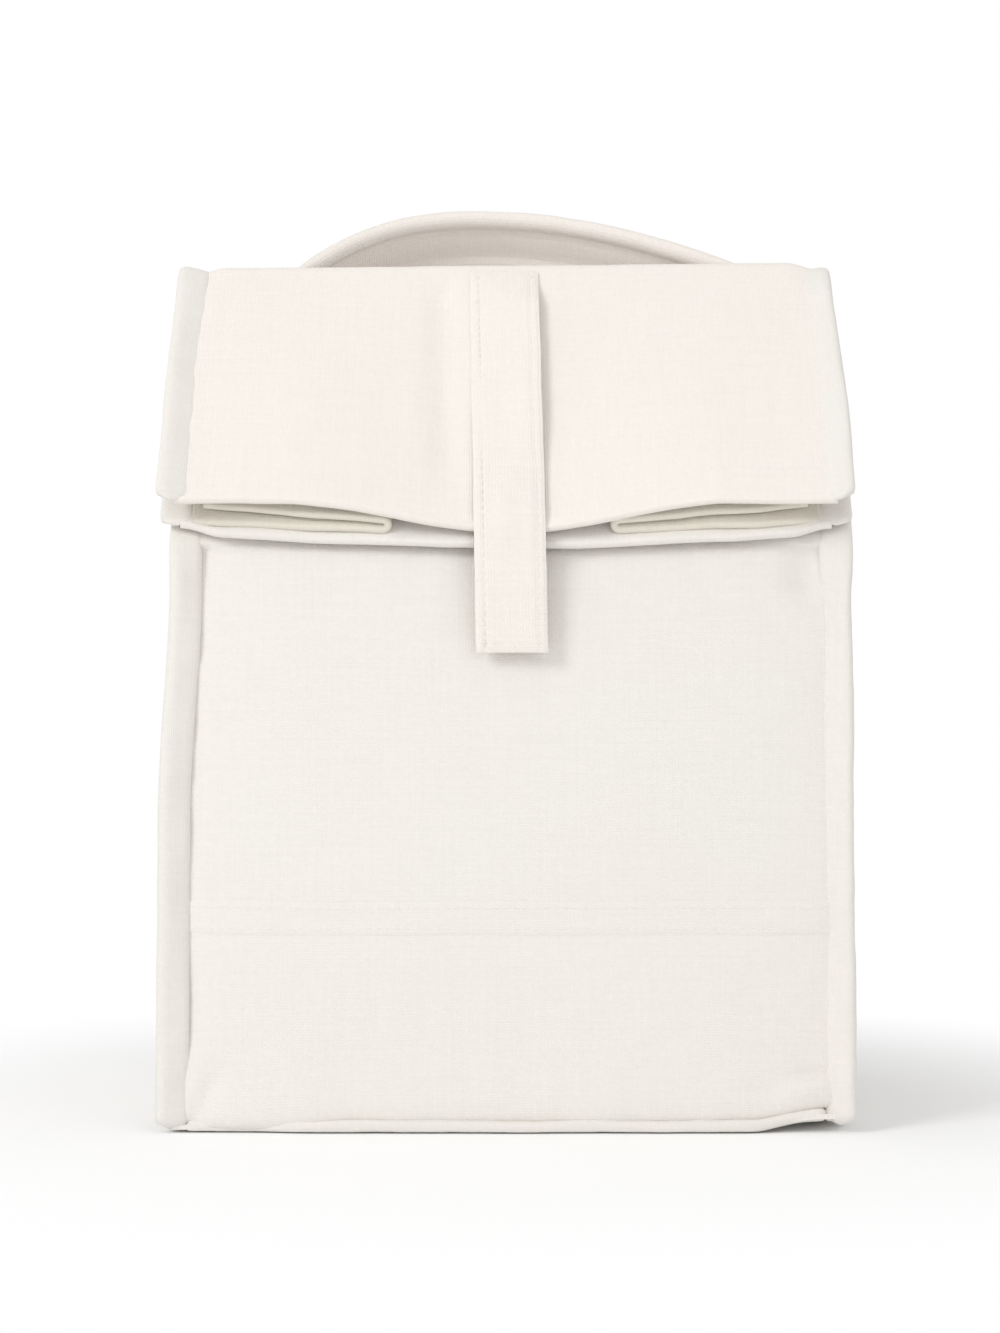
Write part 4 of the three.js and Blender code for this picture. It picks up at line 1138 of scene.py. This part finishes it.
def stitches():
    """Topstitching on the strap, the hem, the tape and the handle's feet."""
    stitch_tree()
    joined = lambda x, yz: np.concatenate([x[:, None], yz], 1)
    line, _, lean, half = strap_line()
    keep = (line.s > 2.4) & (line.s < line.length - 2.4)
    inner = half - STITCH_INSET
    rows = [joined(lean + side * inner, line.p - line.left * 1.0)[keep] for side in (-1, 1)]
    for at in (2.6, 14.0, line.length - 3.0):
        k = np.argmin(np.abs(line.s - at))
        yz = np.broadcast_to(line.p[k] - line.left[k] * 1.15, (12, 2))
        rows.append(joined(np.linspace(-inner, inner, 12) + lean[k], yz))
    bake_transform(stitched("strap_stitches", rows, 1))

    x = np.linspace(-97, 97, 120)
    rows = []
    for z in (62.2, 68.6):
        z = z + tape_sway(x)
        rows.append(np.stack([x, wall_y(z) - front_puff(x, z) - 1.02, z], 1))
    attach(stitched("tape_stitches", rows, 2), "tub")

    x = np.linspace(-97, 97, 160)
    q = np.full(len(x), 0.9)
    yz = RIDGE + DOWN * (FLAP * 0.88) + OUT * (leaf_offset(x, q) + 0.65)[:, None]
    yz = yz + UP * hem_rise(x, q)[:, None]
    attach(stitched("flap_hem_stitches", [joined(x, yz)], 3), "rear_flap")

    far, near, high = 93, 83.5, 5.5
    box = [(near, -high), (far, -high), (far, high), (near, high), (near, -high), (far, high)]
    box = np.array(box)
    way = np.concatenate([np.linspace(p, q, 8)[:-1] for p, q in zip(box, box[1:])])
    yz = hinge("handle_swing") + ROOF_OUT * 4.6 + ROOF_UP * way[:, 1:]
    rows = [joined(side * way[:, 0], yz) for side in (-1, 1)]
    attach(stitched("handle_stitches", rows, 4), "rear_neck")


# Studio
def studio():
    """Floor, white surround, soft lamps from the upper left and the camera of the photograph."""
    s = bpy.context.scene.tote_studio
    scene = bpy.context.scene
    scene.view_settings.view_transform = "Standard"
    paper, t, matte = material("studio_floor")
    look = {"Base Color": (0.98, 0.98, 0.98, 1), "Roughness": 0.9, "Specular IOR Level": 0.1}
    feed(t, matte, look)
    at = node(t, "ShaderNodeTexCoord").outputs["Object"]
    away = node(t, "ShaderNodeVectorMath", {0: at}, operation="LENGTH").outputs["Value"]
    fade = {"From Min": 0.12, "From Max": 0.30, "Value": away}
    fade = node(t, "ShaderNodeMapRange", fade, interpolation_type="SMOOTHSTEP").outputs[0]
    seen = node(t, "ShaderNodeLightPath").outputs["Is Camera Ray"]
    white = node(t, "ShaderNodeEmission").outputs[0]
    both = enumerate((calc(t, "MULTIPLY", fade, seen), matte.outputs[0], white))
    both = node(t, "ShaderNodeMixShader", both).outputs[0]
    feed(t, t.nodes["Material Output"], {"Surface": both})
    mesh = bpy.data.meshes.new("studio_floor")
    mesh.from_pydata([(-6, -6, 0), (6, -6, 0), (6, 6, 0), (-6, 6, 0)], [], [(0, 1, 2, 3)])
    mesh.materials.append(paper)
    floor = place("studio_floor", mesh)
    floor.location.z = -0.0004
    floor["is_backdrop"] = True

    scene.world = bpy.data.worlds.new("studio_white")
    scene.world.use_nodes = True
    t = scene.world.node_tree
    light = feed(t, t.nodes["Background"], {"Color": (1, 1, 1, 1), "Strength": s.ambient})
    shown = node(t, "ShaderNodeBackground", {"Color": (1, 1, 1, 1), "Strength": 1.0})
    seen = node(t, "ShaderNodeLightPath").outputs["Is Camera Ray"]
    both = enumerate((seen, light.outputs[0], shown.outputs[0]))
    both = node(t, "ShaderNodeMixShader", both).outputs[0]
    feed(t, t.nodes["World Output"], {"Surface": both})

    for name, spot, aim, size, power in (
        ("studio_key", (-1.45, -1.35, 1.25), (0, 0, 0.14), 0.8, s.key),
        ("studio_fill", (0.7, -1.3, 0.45), (0, 0, 0.13), 1.2, s.fill),
        ("studio_top", (0.0, -0.1, 1.5), (0, 0, 0.2), 1.2, s.top),
    ):
        lamp = bpy.data.lights.new(name, "AREA")
        lamp.size, lamp.energy = size, power
        obj = place(name, lamp)
        obj.location = spot
        x, y, z = np.array(aim) - np.array(spot)
        obj.rotation_euler = (
            math.atan2(np.hypot(x, y), -z), 0, math.atan2(y, x) - math.pi / 2
        )

    cam = bpy.data.cameras.new("photo_camera")
    cam.sensor_fit, cam.sensor_height, cam.lens = "VERTICAL", 36, s.lens
    cam.clip_start, cam.clip_end = 0.05, 30
    scene.camera = place("photo_camera", cam)
    scene.camera.location = (-0.00185, -0.965, 0.143)
    scene.camera.rotation_euler = (math.pi / 2, 0, 0)


# Settings
def number(name, about, value, low, high, unit="NONE", precision=2):
    """A setting that is one number."""
    return bpy.props.FloatProperty(
        name=name, description=about, default=value, min=low, max=high, unit=unit,
        precision=precision,
    )


def length(name, about, value, low, high):
    """A length setting in metres."""
    return number(name, about, value, low, high, "LENGTH", 5)


def tint(name, about, value):
    """A colour setting."""
    return bpy.props.FloatVectorProperty(
        name=name, description=about, default=value, min=0, max=1, size=3, subtype="COLOR"
    )


class ToteShape(bpy.types.PropertyGroup):
    """Lengths of the cloth."""

    puff: length("Wall puff", "How far the padded walls stand out", 0.0050, 0, 0.012)
    sink: length("Flap sink", "How far the leaf sinks behind the strap", 0.0040, 0, 0.01)
    crease: length("Side crease", "Depth of the side walls' crease at the top", 0.009, 0, 0.02)
    binding_width: length("Binding width", "Width of the rolled bindings", 0.0106, 0.004, 0.02)
    binding_thick: length("Binding thickness", "Thickness at the body", 0.0054, 0.002, 0.012)
    binding_lean: number(
        "Binding lean", "How far the bindings lean forward", math.radians(34), 0, 1.2, "ROTATION"
    )
    strap_width: length("Strap width", "Width of the closing strap", 0.0222, 0.01, 0.05)
    handle_rise: length("Handle rise", "Height of the handle's arch", 0.0330, 0.01, 0.06)
    stitch: length("Stitch", "Distance from one stitch to the next", 0.0030, 0.001, 0.01)
    slack: number("Slack", "How far the walls follow the simulated canvas", 0.5, 0, 1)
    wrinkle: number("Wrinkle", "Strength of the creases in the flap and wall", 1.0, 0, 3)


class ToteFinish(bpy.types.PropertyGroup):
    """Colours and weave."""

    cotton: tint("Cotton", "Colour of the undyed cotton", (0.815, 0.787, 0.745))
    warm: tint("Warm tone", "Colour the cotton drifts to", (0.84, 0.78, 0.70))
    flap: tint("Flap", "Colour of the outer leaf, strap and handle", (0.85, 0.798, 0.75))
    # The pleat colour is darker than the cotton: painted shade for the pleats under the flap.
    pleat_painted_shade: tint("Pleat", "Colour of the shaded pleats", (0.74, 0.70, 0.61))
    weave_pitch: length("Weave pitch", "Distance between two threads", 0.0008, 0.0002, 0.005)
    weave_bump: number("Weave relief", "Strength of the weave's relief", 0.28, 0, 2)


class ToteStudio(bpy.types.PropertyGroup):
    """Light and camera."""

    key: number("Key lamp", "Power of the lamp at the upper left", 18.0, 0, 1000, "POWER")
    fill: number("Fill lamp", "Power of the lamp at the right", 3.6, 0, 1000, "POWER")
    top: number("Top lamp", "Power of the lamp overhead", 1.5, 0, 1000, "POWER")
    ambient: number("Ambient", "Strength of the white surround as light", 0.68, 0, 2)
    lens: number("Lens", "Focal length of the camera", 78.9, 10, 1000, "CAMERA")


# Operators and panel
class Stage:
    """What the operators share: each does its work or raises an error."""

    bl_options = {"REGISTER", "UNDO"}

    def execute(self, context):
        self.work()
        return {"FINISHED"}


class TOTE_OT_finishes(Stage, bpy.types.Operator):
    """Makes the materials"""

    bl_idname, bl_label = "tote.finishes", "Finishes"
    work = staticmethod(finishes)


class TOTE_OT_settle(Stage, bpy.types.Operator):
    """Simulates the canvas of the walls"""

    bl_idname, bl_label = "tote.settle", "Settle"
    work = staticmethod(settle)


class TOTE_OT_front_cloth(Stage, bpy.types.Operator):
    """Builds the front wall, neck and inner leaf"""

    bl_idname, bl_label = "tote.front_cloth", "Front cloth"
    work = staticmethod(front_cloth)


class TOTE_OT_rear_cloth(Stage, bpy.types.Operator):
    """Builds the back wall, roof and outer leaf"""

    bl_idname, bl_label = "tote.rear_cloth", "Rear cloth"
    work = staticmethod(rear_cloth)


class TOTE_OT_side_walls(Stage, bpy.types.Operator):
    """Builds the side walls and neck gussets"""

    bl_idname, bl_label = "tote.side_walls", "Side walls"
    work = staticmethod(side_walls)


class TOTE_OT_pleats(Stage, bpy.types.Operator):
    """Builds the pleats inside the flap"""

    bl_idname, bl_label = "tote.pleats", "Pleats"
    work = staticmethod(pleats)


class TOTE_OT_bindings(Stage, bpy.types.Operator):
    """Builds the rolled bindings"""

    bl_idname, bl_label = "tote.bindings", "Bindings"
    work = staticmethod(bindings)


class TOTE_OT_base_cloth(Stage, bpy.types.Operator):
    """Builds the base canvas and the front tape"""

    bl_idname, bl_label = "tote.base_cloth", "Base and tape"
    work = staticmethod(base_cloth)


class TOTE_OT_strap(Stage, bpy.types.Operator):
    """Builds the closing strap and its patches"""

    bl_idname, bl_label = "tote.strap", "Strap"
    work = staticmethod(strap)


class TOTE_OT_handle(Stage, bpy.types.Operator):
    """Builds the padded handle"""

    bl_idname, bl_label = "tote.handle", "Handle"
    work = staticmethod(handle)


class TOTE_OT_lining(Stage, bpy.types.Operator):
    """Builds the lining"""

    bl_idname, bl_label = "tote.lining", "Lining"
    work = staticmethod(lining)


class TOTE_OT_carried(Stage, bpy.types.Operator):
    """Dresses the CAD pieces that stay"""

    bl_idname, bl_label = "tote.carried", "Carried pieces"
    work = staticmethod(carried)


class TOTE_OT_stitches(Stage, bpy.types.Operator):
    """Sets the topstitching"""

    bl_idname, bl_label = "tote.stitches", "Stitches"
    work = staticmethod(stitches)


class TOTE_OT_studio(Stage, bpy.types.Operator):
    """Builds floor, light and camera"""

    bl_idname, bl_label = "tote.studio", "Studio"
    work = staticmethod(studio)


STAGES = [
    TOTE_OT_finishes, TOTE_OT_settle, TOTE_OT_front_cloth, TOTE_OT_rear_cloth,
    TOTE_OT_side_walls, TOTE_OT_pleats, TOTE_OT_bindings, TOTE_OT_base_cloth, TOTE_OT_strap,
    TOTE_OT_handle, TOTE_OT_lining, TOTE_OT_carried, TOTE_OT_stitches, TOTE_OT_studio,
]


class TOTE_PT_panel(bpy.types.Panel):
    """Settings and stages of the tote."""

    bl_label = "Lunch tote"
    bl_idname = "TOTE_PT_panel"
    bl_space_type = "VIEW_3D"
    bl_region_type = "UI"
    bl_category = "Tote"

    def draw(self, context):
        scene = context.scene
        for group in (scene.tote_shape, scene.tote_finish, scene.tote_studio):
            box = self.layout.box()
            for name in group.__annotations__:
                box.prop(group, name)
        for stage in STAGES:
            self.layout.operator(stage.bl_idname)


CLASSES = [ToteShape, ToteFinish, ToteStudio, *STAGES, TOTE_PT_panel]


def register():
    """Adds the settings, the operators and the panel."""
    for cls in CLASSES:
        bpy.utils.register_class(cls)
    bpy.types.Scene.tote_shape = bpy.props.PointerProperty(type=ToteShape)
    bpy.types.Scene.tote_finish = bpy.props.PointerProperty(type=ToteFinish)
    bpy.types.Scene.tote_studio = bpy.props.PointerProperty(type=ToteStudio)


def unregister():
    """Takes them away again."""
    del bpy.types.Scene.tote_shape, bpy.types.Scene.tote_finish, bpy.types.Scene.tote_studio
    for cls in reversed(CLASSES):
        bpy.utils.unregister_class(cls)


def main():
    """Runs every stage in order."""
    register()
    for stage in STAGES:
        group, name = stage.bl_idname.split(".")
        if getattr(getattr(bpy.ops, group), name)() != {"FINISHED"}:
            raise RuntimeError(f"{stage.bl_idname} did not finish")
    plain = lambda corners: [[float(v) for v in corner] for corner in corners]
    {"cad": plain(START), "visual": plain(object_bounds())}


if __name__ == "__main__":
    main()
